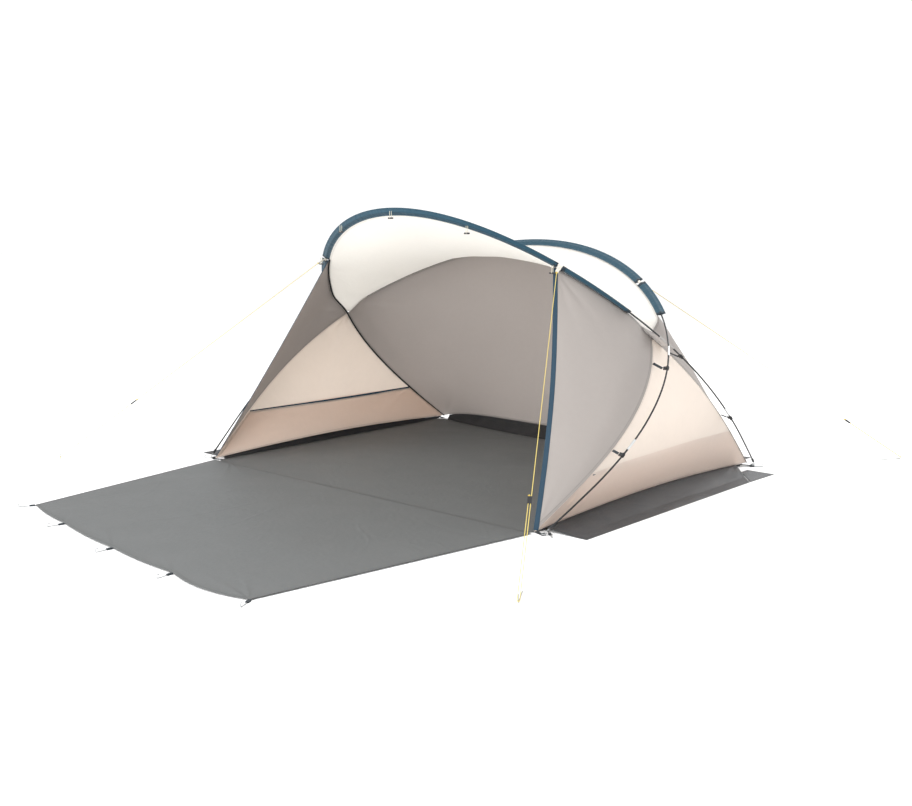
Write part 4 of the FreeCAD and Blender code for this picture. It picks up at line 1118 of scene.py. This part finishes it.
@dataclass
class Sleeves:
    """The cloth tunnels that hold the poles, flat towards the canopy and full at the pole."""

    canopy: Canopy
    ridge: float = 0.0060
    flange: float = 0.0011
    ridge_width: float = 0.0095
    hem: float = 0.018
    pucker: float = 0.0007
    spacing: float = 0.006

    def tunnel(self, name: str, arch: Arch, roofward: float, start: float, end: float,
               seed: int, node: str) -> None:
        """One stretch of sleeve.

        Across the sleeve the cloth stands off its middle plane by
        flange + (ridge - flange) exp(-(x / ridge width)^2), and small puckers run down
        to its sewn edge.

        Args:
            name: The piece's name.
            arch: The pole inside.
            roofward: 1 if the canopy is on the side of tangent x normal, or else -1.
            start: Where it starts, from the pole's top.
            end: Where it ends.
            seed: The seed for its puckers.
            node: The frame's node that it replaces.
        """
        random = np.random.default_rng(seed)
        count = int(abs(end - start) / self.spacing) + 2
        distance = np.linspace(start, end, count)
        across, normal = self.canopy.hang(arch, distance, roofward)
        sides = 40
        turn = -np.arange(sides) / sides * TAU
        x = np.cos(turn) * PITCH.sleeve_width / 2
        stand = self.flange + (self.ridge - self.flange) * np.exp(
            -(x / self.ridge_width) ** 2)
        stand = stand * np.sign(np.sin(turn)) * np.minimum(1.0, np.abs(np.sin(turn)) * 4)
        phases = random.uniform(0, TAU, 6)
        sizes = random.uniform(0.018, 0.070, 6)
        waves = np.sin(distance[:, None] / sizes * TAU + phases).sum(axis=1) / 2.4
        near_edge = np.clip(np.abs(x) / PITCH.sleeve_width * 2, 0, 1)
        ripple = self.pucker * waves[:, None] * (near_edge * (1 - near_edge) * 4)[None]
        profile = np.stack([np.broadcast_to(x, ripple.shape), stand[None] + ripple], axis=-1)
        piece = carried(name, arch.at(distance), profile, across, normal, Finishes.SLEEVE)
        self._edges(piece, sides)
        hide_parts(node)
        LOG.info("sleeve %s: %.2f m", name, abs(end - start))
        for tail, at in (("start", start), ("end", end)):
            self.end_hem(f"{name}_hem_{tail}", arch, roofward, at,
                         self.hem if at == min(start, end) else -self.hem)

    def _edges(self, piece: bpy.types.Object, sides: int) -> None:
        """Marks how far each point is from the sewn edge, for the row of stitches."""
        mesh = piece.data
        rings = len(mesh.vertices) // sides
        turn = np.arange(sides) / sides * TAU
        inner = (1 - np.cos(turn)) * PITCH.sleeve_width / 2
        made = mesh.attributes.new("edge", "FLOAT", "POINT")
        made.data.foreach_set("value", np.tile(inner, rings).astype(np.float32))

    def end_hem(self, name: str, arch: Arch, roofward: float, at: float,
                length: float) -> None:
        """The dark turned hem round one end of a sleeve."""
        distance = np.linspace(at - math.copysign(0.0006, length), at + length, 5)
        across, normal = self.canopy.hang(arch, distance, roofward)
        sides = 40
        turn = -np.arange(sides) / sides * TAU
        x = np.cos(turn) * (PITCH.sleeve_width / 2 + 0.0004)
        stand = self.flange + (self.ridge - self.flange) * np.exp(
            -(x / self.ridge_width) ** 2) + 0.0006
        stand = stand * np.sign(np.sin(turn)) * np.minimum(1.0, np.abs(np.sin(turn)) * 4)
        order = slice(None) if distance[-1] > distance[0] else slice(None, None, -1)
        piece = carried(name, arch.at(distance)[order], np.stack([x, stand], axis=-1),
                        across[order], normal[order], Finishes.SLEEVE_HEM)
        self._edges(piece, sides)

    def build(self) -> None:
        """Both long sleeves and the four short ones past the guy points."""
        gap = PITCH.sleeve_gap / 2
        plans = (
            ("front", self.canopy.front, -1.0, PITCH.guy_point_front,
             PITCH.front_sleeve_end, 11),
            ("rear", self.canopy.rear, 1.0, PITCH.guy_point_rear, PITCH.rear_sleeve_end, 21),
        )
        for name, arch, roofward, guy_point, end, seed in plans:
            self.tunnel(f"{name}_sleeve_cloth", arch, roofward, gap - guy_point,
                        guy_point - gap, seed, f"{name}_sleeve")
            self.tunnel(f"{name}_sleeve_right_end", arch, roofward, guy_point + gap, end,
                        seed + 1, "sleeve_ends")
            self.tunnel(f"{name}_sleeve_left_end", arch, roofward, -end, -guy_point - gap,
                        seed + 2, "sleeve_ends")


@dataclass
class Panels:
    """The canopy's cloth panels: roof, back, wings, sides, pockets and gussets."""

    canopy: Canopy
    lens_end: float = 0.985

    def roof(self) -> None:
        """The roof: straight lines between the arches, less a saddle's sag.

        The sag is the roof's own depth squared, times 4 s (1 - s) along each line.
        """
        share = np.linspace(-self.lens_end, self.lens_end, 241)
        along = np.linspace(0, 1, 71)
        front = self.canopy.roof_front(share)
        rear = self.canopy.roof_rear(share)
        middle = self.canopy.roof_rear(np.array(0.0)) - self.canopy.roof_front(np.array(0.0))
        depth = np.linalg.norm(rear - front, axis=1) / np.linalg.norm(middle)
        grid = front[None] + (rear - front)[None] * along[:, None, None]
        sag = PITCH.roof_sag * (4 * along * (1 - along))[:, None] * (depth ** 2)[None]
        normal = self.canopy.front.outward(share * self.canopy.front_cross)
        grid = grid - normal[None] * sag[..., None]
        folds = Folds(31, (
            Pull(0.0, 0.16, (0.4, 1.0), 0.7, 7, 0.004, 0.30),
            Pull(0.0, 0.84, (-0.4, 1.0), 0.7, 7, 0.004, 0.30),
            Pull(1.0, 0.16, (0.4, -1.0), 0.7, 6, 0.004, 0.28),
            Pull(1.0, 0.84, (-0.4, -1.0), 0.7, 6, 0.004, 0.28),
        ), swell=0.0016, swell_size=0.42, creases=14, crease_height=0.0005)
        piece = cloth("roof_cloth", folds.on(grid), Finishes.ROOF)
        declare_sheet(piece, grid)
        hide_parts("roof_panel")

    def back(self) -> None:
        """The back: a Coons patch between the rear sleeve, the two legs and the hem."""
        share = np.linspace(0, 1, 121)
        over = np.linspace(-1, 1, 221)
        right = self.canopy.rear_leg(share)
        left = flipped(right)
        top = self.canopy.roof_rear(over)
        top[0], top[-1] = left[0], right[0]
        grid = patch(top, self.canopy.rear_hem(over), left, right)
        push = PITCH.back_belly * np.sin(math.pi * share)[:, None] * np.sin(
            math.pi * (over + 1) / 2)[None]
        grid = grid + push[..., None] * np.array([0.0, 0.8, 0.35])
        folds = Folds(41, (
            Pull(1.0, 0.0, (1.0, -0.9), 0.7, 8, 0.004, 0.32),
            Pull(1.0, 1.0, (-1.0, -0.9), 0.7, 8, 0.004, 0.32),
            Pull(0.02, 0.05, (1.0, 1.0), 0.5, 5, 0.003, 0.3),
            Pull(0.02, 0.95, (-1.0, 1.0), 0.5, 5, 0.003, 0.3),
        ), swell=0.0026, swell_size=0.55, creases=22, crease_height=0.0006)
        piece = cloth("back_cloth", folds.on(grid), Finishes.GREY)
        declare_sheet(piece, grid)
        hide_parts("back_panel")

    def wing_grid(self) -> Array:
        """The right wing: a Coons patch of sleeve, free edge, leg seam and foot."""
        share = np.linspace(0, 0.992, 131)
        over = np.linspace(0, 1, 81)
        edge = self.canopy.wing_edge(share)
        seam = self.canopy.front_leg(share)
        distance = np.linspace(PITCH.wing_point, self.canopy.front_cross, 81)
        top = self.canopy.wing_top(distance)
        bottom = mix(edge[-1], seam[-1], over)
        return patch(top, bottom, edge, seam)

    def wings(self) -> None:
        """Both wings, the left one a mirror image with folds of its own."""
        grid = self.wing_grid()
        for side, seed in (("right", 51), ("left", 61)):
            folds = Folds(seed, (
                Pull(0.0, 0.0, (0.7, 1.0), 0.6, 6, 0.0035, 0.35),
                Pull(1.0, 0.5, (0.05, -1.0), 0.5, 6, 0.0035, 0.35),
                Pull(0.05, 1.0, (-1.0, 0.6), 0.5, 5, 0.003, 0.25),
            ), swell=0.0018, swell_size=0.5, creases=8, crease_height=0.0005)
            shown = grid if side == "right" else flipped(grid)[:, ::-1]
            piece = cloth(f"{side}_wing_cloth", folds.on(shown), Finishes.GREY)
            declare_sheet(piece, shown)
            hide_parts(f"{side}_wing")
            self.wing_binding(side)

    def wing_binding(self, side: str) -> None:
        """The folded tape along a wing's free edge: a flat tape on the edge's own line."""
        grid = self.wing_grid()
        path = grid[:, 0]
        across = unit(grid[:, 3] - path)
        width = 0.022 if side == "right" else 0.012
        path = path + across * (width / 2 - 0.004)
        if side == "left":
            path, across = flipped(path), flipped(across)
        piece = tape(f"{side}_wing_tape", path, across, width, 0.0028, Finishes.BINDING)
        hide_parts(f"{side}_wing_binding")

    def sides(self) -> None:
        """Both side panels, with the inner pocket and its bound mouth."""
        mouth = self.canopy.pocket_share()
        for side, seed in (("right", 71), ("left", 81)):
            turn = flipped if side == "left" else np.array
            order = slice(None, None, -1 if side == "left" else 1)
            grid = turn(self.canopy.side_rows(0.0, 0.012, 121, 161))[:, order]
            folds = Folds(seed, (
                Pull(1.0, 0.0, (1.0, -0.5), 0.5, 6, 0.0035, 0.35),
                Pull(1.0, 1.0, (-1.0, -0.5), 0.5, 6, 0.0035, 0.35),
                Pull(0.0, 0.5, (0.0, 1.0), 0.6, 6, 0.003, 0.3),
            ), swell=0.0022, swell_size=0.5, creases=12, crease_height=0.0005)
            down = np.broadcast_to(np.linspace(0.012, 1, 121)[:, None] - mouth, grid.shape[:2])
            piece = cloth(f"{side}_side_cloth", folds.on(grid), Finishes.CREAM, down=down)
            declare_sheet(piece, grid)
            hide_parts(f"{side}_side_panel")
            self.pocket(side, mouth, seed + 3)

    def pocket(self, side: str, mouth: float, seed: int) -> None:
        """The pocket along the foot of one side panel, slack at its mouth."""
        rows = self.canopy.side_rows(PITCH.pocket_gap, mouth, 41, 141)
        slack = np.linspace(1, 0, 41)[:, None] ** 2 * np.sin(
            math.pi * np.linspace(0, 1, 141))[None] * 0.012
        rows = rows - point(0.0027 + slack, 0.0, slack * 0.7)
        inset = slice(1, -1)
        rows = rows[:, inset]
        if side == "left":
            rows = flipped(rows)[:, ::-1]
        folds = Folds(seed, (
            Pull(0.0, 0.0, (1.0, 0.3), 0.4, 5, 0.003, 0.3),
            Pull(0.0, 1.0, (-1.0, 0.3), 0.4, 5, 0.003, 0.3),
        ), swell=0.0022, swell_size=0.3, creases=10, crease_height=0.0008)
        piece = cloth(f"{side}_pocket_cloth", folds.on(rows), Finishes.POCKET)
        declare_sheet(piece, rows)
        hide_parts(f"{side}_pocket")
        across = np.broadcast_to(UP, rows[0].shape)
        lip = tape(f"{side}_pocket_tape", rows[0] - UP * 0.004, across, 0.017, 0.0026,
                   Finishes.BINDING)
        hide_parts("pocket_bindings")

    def seam_tapes(self) -> None:
        """The dark tape sewn inside along the front arch's seam, down to the rear foot."""
        sleeve = self.canopy.wing_top(np.linspace(PITCH.wing_point, self.canopy.front_cross, 60))
        leg = self.canopy.rear_leg(np.linspace(0, 1, 90))
        line = np.concatenate([sleeve[:-1], leg])
        inward = np.array([-1.0, 0.0, -0.2]) * 0.003
        across = np.broadcast_to(np.array([0.3, -1.0, 0.5]), line.shape)
        for side in ("right", "left"):
            path = line + inward
            turn = flipped if side == "left" else np.array
            piece = tape(f"{side}_seam_tape", turn(path), turn(across), 0.011, 0.0022,
                         Finishes.SEAM_TAPE)

    def gussets(self) -> None:
        """The cloth web and tube that tie the poles to the crossing of the seams."""
        front = self.canopy.front
        cross = self.canopy.front_cross
        reach = PITCH.pole / 2 + 0.0030
        pole = front.at(cross + np.linspace(-0.040, 0.052, 25))
        seam = np.stack([np.interp(np.linspace(0, 2, 25), (0, 1, 2), column) for column in (
            np.stack([self.canopy.roof_front(np.array(0.93)), self.canopy.cross,
                      self.canopy.rear_leg(np.array(0.06))]).T)], axis=-1)
        edge = pole + unit(seam - pole) * reach
        share = np.linspace(0, 1, 21)[:, None, None]
        grid = seam[None] + (edge - seam)[None] * share
        for side in ("right", "left"):
            turn = flipped if side == "left" else np.array
            order = slice(None, None, -1 if side == "left" else 1)
            web = cloth(f"{side}_crossing_web", Folds(
                91, swell=0.0012, swell_size=0.06, fade=0.02).on(turn(grid)[:, order]),
                Finishes.GUSSET)
            distance = cross + np.linspace(-0.042, 0.054, 24)
            band = tube(f"{side}_crossing_tube", turn(front.at(distance)),
                        PITCH.pole / 2 + 0.0026, Finishes.GUSSET, sides=20)
            for piece in (web, band):
                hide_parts("crossing_gussets")

    def build(self) -> None:
        """All the canopy's cloth."""
        self.roof()
        self.back()
        self.wings()
        self.sides()
        self.seam_tapes()
        self.gussets()


@dataclass
class Ground:
    """The cloth on the ground: floor, hem wall, skirts and corner pieces."""

    canopy: Canopy
    wall_top: float = 0.002

    @property
    def half(self) -> float:
        """Half the floor's width."""
        return PITCH.foot_span / 2 - PITCH.floor_side_inset

    def rear_edge(self, x: Array) -> Array:
        """The floor's rear edge: a curve between the corners, then the cut corners."""
        straight = self.half - PITCH.floor_corner_cut
        rear = PITCH.foot_depth / 2 - PITCH.floor_rear_inset
        bow = PITCH.floor_rear_bow * np.clip(1 - (x / straight) ** 2, 0, 1)
        return rear - bow - np.clip(np.abs(x) - straight, 0, None)

    def floor(self) -> None:
        """The groundsheet: level, with its front corners cut off as well."""
        x = np.linspace(-self.half, self.half, 161)
        straight = self.half - PITCH.floor_corner_cut
        front = -PITCH.foot_depth / 2 + PITCH.floor_front_inset
        near = front + np.clip(np.abs(x) - straight, 0, None)
        far = self.rear_edge(x)
        along = np.linspace(0, 1, 131)[:, None]
        grid = point(np.broadcast_to(x, (131, 161)), near + (far - near) * along, 0.0008)
        folds = Folds(101, (
            Pull(0.0, 0.0, (1.0, 1.0), 0.6, 6, 0.003, 0.3),
            Pull(0.0, 1.0, (1.0, -1.0), 0.6, 6, 0.003, 0.3),
            Pull(1.0, 0.0, (-1.0, 1.0), 0.6, 6, 0.003, 0.3),
            Pull(1.0, 1.0, (-1.0, -1.0), 0.6, 6, 0.003, 0.3),
        ), swell=0.0012, swell_size=0.4, creases=40, crease_height=0.0012)
        shown = grid + UP * np.clip(folds.height(grid), 0.0, None)[..., None]
        piece = cloth("floor_sheet", shown, Finishes.FLOOR)
        declare_sheet(piece, grid)
        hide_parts("groundsheet")

    def walls(self) -> None:
        """The dark strip between the floor's edge and the canopy's hem: its own dark cloth,
        darkened to near black as painted shade under the hem.
        """
        share = np.linspace(0.03, 0.97, 121)
        high = self.canopy.side_hem(share) - UP * self.wall_top
        low = point(self.half + 0.001, high[:, 1], 0.0012)
        over = np.linspace(-0.95, 0.95, 161)
        rear_high = self.canopy.rear_hem(over) - UP * self.wall_top
        x = over * self.half * 0.985
        rear_low = point(x, self.rear_edge(x) + 0.002, 0.0012)
        plans = (("right", low, high), ("left", flipped(low)[::-1], flipped(high)[::-1]),
                 ("rear", rear_low, rear_high))
        for side, foot, hem in plans:
            down = np.linspace(0, 1, 15)[:, None, None]
            grid = hem[None] + (foot - hem)[None] * down
            folds = Folds(111 + len(side), swell=0.0014, swell_size=0.12, fade=0.012)
            # the wall's near-black finish is partly painted shade under the hem
            piece = cloth(f"{side}_hem_wall", folds.on(grid), Finishes.WALL_AND_SHADE)
            declare_sheet(piece, grid)
            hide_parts("floor_walls")

    def skirt_end(self, out: Array) -> Array:
        """Where a side skirt ends towards the rear: drawn in at its outer edge."""
        return PITCH.foot_depth / 2 - PITCH.skirt_rear_gap - PITCH.skirt_point * out

    def drop(self, top: Array, outer: Array, out: Array) -> Array:
        """A skirt's point: straight out, and down to the ground in two thirds of the way."""
        place = top + (outer - top) * out
        place[..., 2] = (top + (outer - top) * np.minimum(1.0, out * 1.5))[..., 2]
        return place

    def skirts(self) -> None:
        """The flaps that lie on the ground outside the two sides and the rear."""
        out = np.linspace(0, 1, 41)[:, None]
        start = -PITCH.foot_depth / 2 + PITCH.skirt_front_gap
        y = start + (self.skirt_end(out) - start) * np.linspace(0, 1, 141)[None]
        front, rear = self.canopy.front_corner, self.canopy.rear_corner
        top = self.canopy.side_hem((y - front[1]) / (rear[1] - front[1]))
        top = top + np.array([0.0025, 0.0, -0.0015])
        wall_x = PITCH.foot_span / 2 - PITCH.corner_inset
        outer = point(wall_x + PITCH.skirt_width, y, 0.0012)
        side_grid = self.drop(top, outer, out[..., None])
        over = np.broadcast_to(np.linspace(-0.93, 0.93, 181), (41, 181))
        back_top = self.canopy.rear_hem(over) + np.array([0.0, 0.0025, -0.0015])
        back_outer = point(back_top[..., 0] * 1.01, rear[1] + PITCH.skirt_width * 0.8, 0.0012)
        back_grid = self.drop(back_top, back_outer, out[..., None])
        plans = (("right_skirt", side_grid, 121), ("left_skirt", flipped(side_grid)[:, ::-1], 131),
                 ("rear_skirt", back_grid, 141))
        for name, grid, seed in plans:
            folds = Folds(seed, (
                Pull(0.0, 0.0, (1.0, 0.8), 0.6, 5, 0.004, 0.2),
                Pull(0.0, 1.0, (-1.0, 0.8), 0.6, 5, 0.004, 0.2),
            ), swell=0.0022, swell_size=0.22, creases=26, crease_height=0.0016, fade=0.02)
            shown = grid + UP * np.clip(folds.height(grid) + 0.0006, 0.0, None)[..., None]
            piece = cloth(f"{name}_cloth", shown, Finishes.SKIRT)
            declare_sheet(piece, grid)
            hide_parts(name)

    def corners(self) -> None:
        """The pointed pieces that close the skirts beside the rear feet."""
        wall_x = PITCH.foot_span / 2 - PITCH.corner_inset
        end = float(self.skirt_end(np.array(0.0)))
        inner = np.array([wall_x + 0.070, float(self.skirt_end(np.array(0.3))) + 0.006, 0.0011])
        outer = np.array([wall_x + PITCH.skirt_width,
                          float(self.skirt_end(np.array(1.0))) + 0.006, 0.0011])
        far_in = np.array([wall_x + 0.070, end, 0.0011])
        far_out = np.array([wall_x + PITCH.skirt_width + 0.008, end, 0.0011])
        share = np.linspace(0, 1, 31)
        grid = patch(mix(inner, outer, share), mix(far_in, far_out, share),
                     mix(inner, far_in, share), mix(outer, far_out, share))
        for side, seed in (("right", 151), ("left", 161)):
            placed = grid if side == "right" else flipped(grid)[:, ::-1]
            folds = Folds(seed, swell=0.0012, swell_size=0.12, creases=5, fade=0.02)
            shown = placed + UP * np.clip(folds.height(placed), 0.0, None)[..., None]
            piece = cloth(f"{side}_skirt_corner", shown, Finishes.SKIRT_CORNER)
            declare_sheet(piece, placed)
            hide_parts("skirt_corners")

    def build(self) -> None:
        """Everything that lies on the ground under and beside the canopy."""
        self.floor()
        self.walls()
        self.skirts()
        self.corners()


@dataclass
class Patio:
    """The large front sheet, pegged at its front edge, which folds up as a door."""

    loops: tuple[float, ...] = (-1.0, -0.56, -0.02, 0.49, 1.0)

    @property
    def back_y(self) -> float:
        """Where its rear edge is."""
        return -PITCH.foot_depth / 2 + PITCH.floor_front_inset - 0.006

    def front(self, share: Array) -> Array:
        """Its front edge: straight between the loops, plus an arc's bulge on each stretch."""
        stops = np.array(self.loops)
        reach = PITCH.patio_length + PITCH.patio_skew * stops + PITCH.patio_bow * (
            1 - stops ** 2)
        index = np.clip(np.searchsorted(stops, share, side="right") - 1, 0, len(stops) - 2)
        local = (share - stops[index]) / (stops[index + 1] - stops[index])
        out = np.where(index == len(stops) - 2, PITCH.patio_corner_scallop,
                       PITCH.patio_scallop)
        y = -np.interp(share, stops, reach) - out * 4 * local * (1 - local)
        return point(PITCH.patio_front_half * share, self.back_y + y, PITCH.patio_lift)

    def build(self) -> None:
        """The sheet with its wrinkles."""
        share = np.linspace(-1, 1, 301)
        back = point(PITCH.patio_back_half * share, self.back_y, PITCH.patio_lift)
        front = self.front(share)
        along = np.linspace(0, 1, 221)[:, None, None]
        grid = back[None] + (front - back)[None] * along
        pulls = [Pull(1.0, 0.0, (-0.9, 1.0), 0.75, 13, 0.0045, 0.42),
                 Pull(0.0, 0.06, (1.0, 0.3), 0.5, 6, 0.003, 0.3),
                 Pull(0.0, 0.94, (1.0, -0.3), 0.5, 6, 0.003, 0.3)]
        pulls += [Pull(1.0, (stop + 1) / 2, (-1.0, -0.15 * stop), 0.6, 7, 0.0032, 0.22)
                  for stop in self.loops[1:]]
        folds = Folds(171, tuple(pulls), swell=0.0012, swell_size=0.4, creases=46,
                      crease_height=0.0011, crease_width=0.004, fade=0.02)
        lift = np.clip(folds.height(grid) + 0.0004, -0.0012, None)
        shown = grid + UP * lift[..., None]
        piece = cloth("patio_sheet", shown, Finishes.FLOOR, body="")
        declare_sheet(piece, grid)
        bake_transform(piece)
        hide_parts("patio")


@dataclass(frozen=True)
class Line:
    """One guy line: its corner points, and the node names that go with it."""

    name: str
    top: Point
    hook_down: Point
    hook_up: Point
    other_top: Point


@dataclass
class GuyLines:
    """The braided guy lines, doubled round their pegs, with a knot at each end."""

    lines: tuple[Line, ...]
    diameter: float = 0.003
    turn: float = 0.0046
    approach: float = 0.018
    knot: float = 0.0042

    def route(self, line: Line) -> Array:
        """Its corner points, with one more close to the hook on each side."""
        top, down, up, other = [np.array(p) for p in (line.top, line.hook_down,
                                                      line.hook_up, line.other_top)]
        return np.array([top, down + unit(top - down) * self.approach, down, up,
                         up + unit(other - up) * self.approach, other])

    def length(self, line: Line) -> float:
        """Two straight runs and a half turn."""
        top, down, up, other = [np.array(p) for p in (line.top, line.hook_down,
                                                      line.hook_up, line.other_top)]
        runs = np.linalg.norm(top - down) + np.linalg.norm(other - up) - 2 * self.turn
        return float(runs + math.pi * self.turn)

    def cord(self, line: Line) -> bpy.types.Object:
        """A NURBS curve along the route, with a round bevel."""
        data = bpy.data.curves.new(f"guy_cord_{line.name}", "CURVE")
        data.dimensions = "3D"
        data.bevel_depth = self.diameter / 2
        data.bevel_resolution = 3
        data.resolution_u = 24
        data.use_fill_caps = True
        spline = data.splines.new("NURBS")
        places = self.route(line)
        spline.points.add(len(places) - 1)
        for place, control in zip(places, spline.points):
            control.co = (*place, 1.0)
        spline.order_u = 3
        spline.use_endpoint_u = True
        piece = bpy.data.objects.new(f"guy_cord_{line.name}", data)
        bpy.context.scene.collection.objects.link(piece)
        data.materials.append(Finishes.GUY.value.material())
        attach(piece, "root")
        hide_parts(f"guy_line_{line.name}")
        return piece

    def knots(self, line: Line) -> list[bpy.types.Object]:
        """The overhand knots at the line's two ends: trefoils round the cord."""
        turn = np.linspace(0, TAU, 97)
        curve = point(np.sin(turn) + 2 * np.sin(2 * turn), np.cos(turn) - 2 * np.cos(2 * turn),
                      -np.sin(3 * turn) * 1.3) / 3.0
        pieces = []
        ends = ((line.top, line.hook_down, "top"), (line.other_top, line.hook_up, "tail"))
        for end, hook, tail in ends:
            way = unit(np.array(hook) - np.array(end))
            side = unit(np.cross(way, UP))
            lift = np.cross(side, way)
            centre = np.array(end) - way * 0.0022
            path = centre + (curve[:, :1] * side + curve[:, 1:2] * lift
                             + curve[:, 2:] * way) * self.knot
            piece = tube(f"guy_knot_{line.name}_{tail}", path, self.diameter * 0.52,
                         Finishes.GUY)
            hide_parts("guy_knots")
            pieces.append(piece)
        return pieces

    def build(self) -> None:
        """Every line with its knots."""
        for line in self.lines:
            piece = self.cord(line)
            knots = self.knots(line)


@dataclass
class Fittings:
    """Pegs, runners, webbing loops, toggles and pole clips."""

    sides: tuple[str, ...] = ("front_right", "front_left", "rear_right", "rear_left")

    def build(self) -> None:
        """Gives the frame's fittings their finishes."""
        dress(Finishes.STEEL, *(f"corner_peg_{side}" for side in self.sides),
              *(f"patio_peg_{i}" for i in range(1, 6)),
              *(f"guy_peg_{name}" for name in ("left", "right", "rear")))
        dress(Finishes.PLASTIC, *(f"guy_runner_{name}" for name in ("left", "right", "rear")),
              "pole_clips")
        dress(Finishes.TOGGLE, *(f"toggle_{i}" for i in range(1, 6)))
        dress(Finishes.ELASTIC, "toggle_loops")
        dress(Finishes.PALE_TAPE, "guy_loops")
        dress(Finishes.DARK_TAPE, "corner_tabs", "patio_loops", "clip_straps")


@dataclass
class Stage:
    """A pale floor, soft studio light and the viewpoint."""

    location: Point = (3.949, -4.566, 1.305)
    azimuth: float = 0.7336
    elevation: float = 0.1608
    lens: float = 44.81

    def light(self, name: str, place: Point, aim: Point, size: float, power: float) -> None:
        """A square soft light that faces a point."""
        data = bpy.data.lights.new(name, "AREA")
        data.size = size
        data.energy = power
        lamp = bpy.data.objects.new(name, data)
        bpy.context.scene.collection.objects.link(lamp)
        lamp.location = place
        way = Vector(aim) - Vector(place)
        lamp.rotation_euler = way.to_track_quat("-Z", "Y").to_euler()
        lamp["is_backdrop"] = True

    def floor(self) -> None:
        """A wide level white floor just under the shelter."""
        half = 40.0
        corners = np.array([[-half, -half, -0.0004], [half, -half, -0.0004],
                            [half, half, -0.0004], [-half, half, -0.0004]])
        piece = put("studio_floor", corners, np.array([[0, 1, 2, 3]]), Finishes.STUDIO,
                    body="")
        piece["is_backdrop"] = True

    def build(self) -> None:
        """Sets up floor, world, lights and camera."""
        self.floor()
        world = bpy.data.worlds.new("studio")
        world.use_nodes = True
        sky = world.node_tree.nodes["Background"]
        sky.inputs["Color"].default_value = (1.0, 1.0, 1.0, 1.0)
        sky.inputs["Strength"].default_value = 1.12
        bpy.context.scene.world = world
        self.light("key", (-2.5, -4.5, 6.0), (0.0, 0.0, 0.5), 4.0, 230.0)
        self.light("fill", (1.6, -7.0, 2.4), (-0.2, 0.4, 0.5), 3.5, 330.0)
        self.light("rear", (1.5, 5.0, 4.0), (0.0, 0.3, 0.6), 4.0, 260.0)
        data = bpy.data.cameras.new("view")
        data.lens = self.lens
        data.sensor_width = 36.0
        data.clip_end = 200.0
        camera = bpy.data.objects.new("view", data)
        bpy.context.scene.collection.objects.link(camera)
        camera.location = self.location
        camera.rotation_euler = (math.pi / 2 - self.elevation, 0.0, self.azimuth)
        bpy.context.scene.camera = camera
        bpy.context.scene.view_settings.view_transform = "Standard"


def visual_box() -> list[list[float]]:
    """The box round every shown piece of the shelter."""
    graph = bpy.context.evaluated_depsgraph_get()
    low, high = np.full(3, np.inf), np.full(3, -np.inf)
    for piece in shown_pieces():
        made = piece.evaluated_get(graph)
        for corner in made.bound_box:
            place = np.array(made.matrix_world @ Vector(corner))
            low, high = np.minimum(low, place), np.maximum(high, place)
    return [low.round(5).tolist(), high.round(5).tolist()]


LINES = (
    Line("left", (-0.8196, -0.4099, 1.0633), (-1.7590, -1.4878, 0.0083),
         (-1.7659, -1.4818, 0.0083), (-1.4859, -1.1604, 0.3228)),
    Line("right", (0.8177, -0.4101, 1.0620), (1.6089, -1.6437, 0.0083),
         (1.6011, -1.6486, 0.0083), (1.3931, -1.3242, 0.2854)),
    Line("rear", (0.8187, 0.3481, 0.9664), (1.6633, 1.6298, 0.0086),
         (1.6710, 1.6247, 0.0086), (1.4699, 1.3197, 0.2365)),
)


def main() -> None:
    """Builds the shelter from its sub-assemblies, then the studio."""
    logging.basicConfig(level=logging.INFO, format="%(name)s: %(message)s")
    canopy = Canopy()
    parts = (Poles(), Sleeves(canopy), Panels(canopy), Ground(canopy), Patio(),
             GuyLines(LINES), Fittings(), Stage())
    for part in parts:
        part.build()
        LOG.info("built %s", type(part).__name__)
    {"cad": CAD_BOX, "visual": visual_box()}


if __name__ == "__main__":
    main()
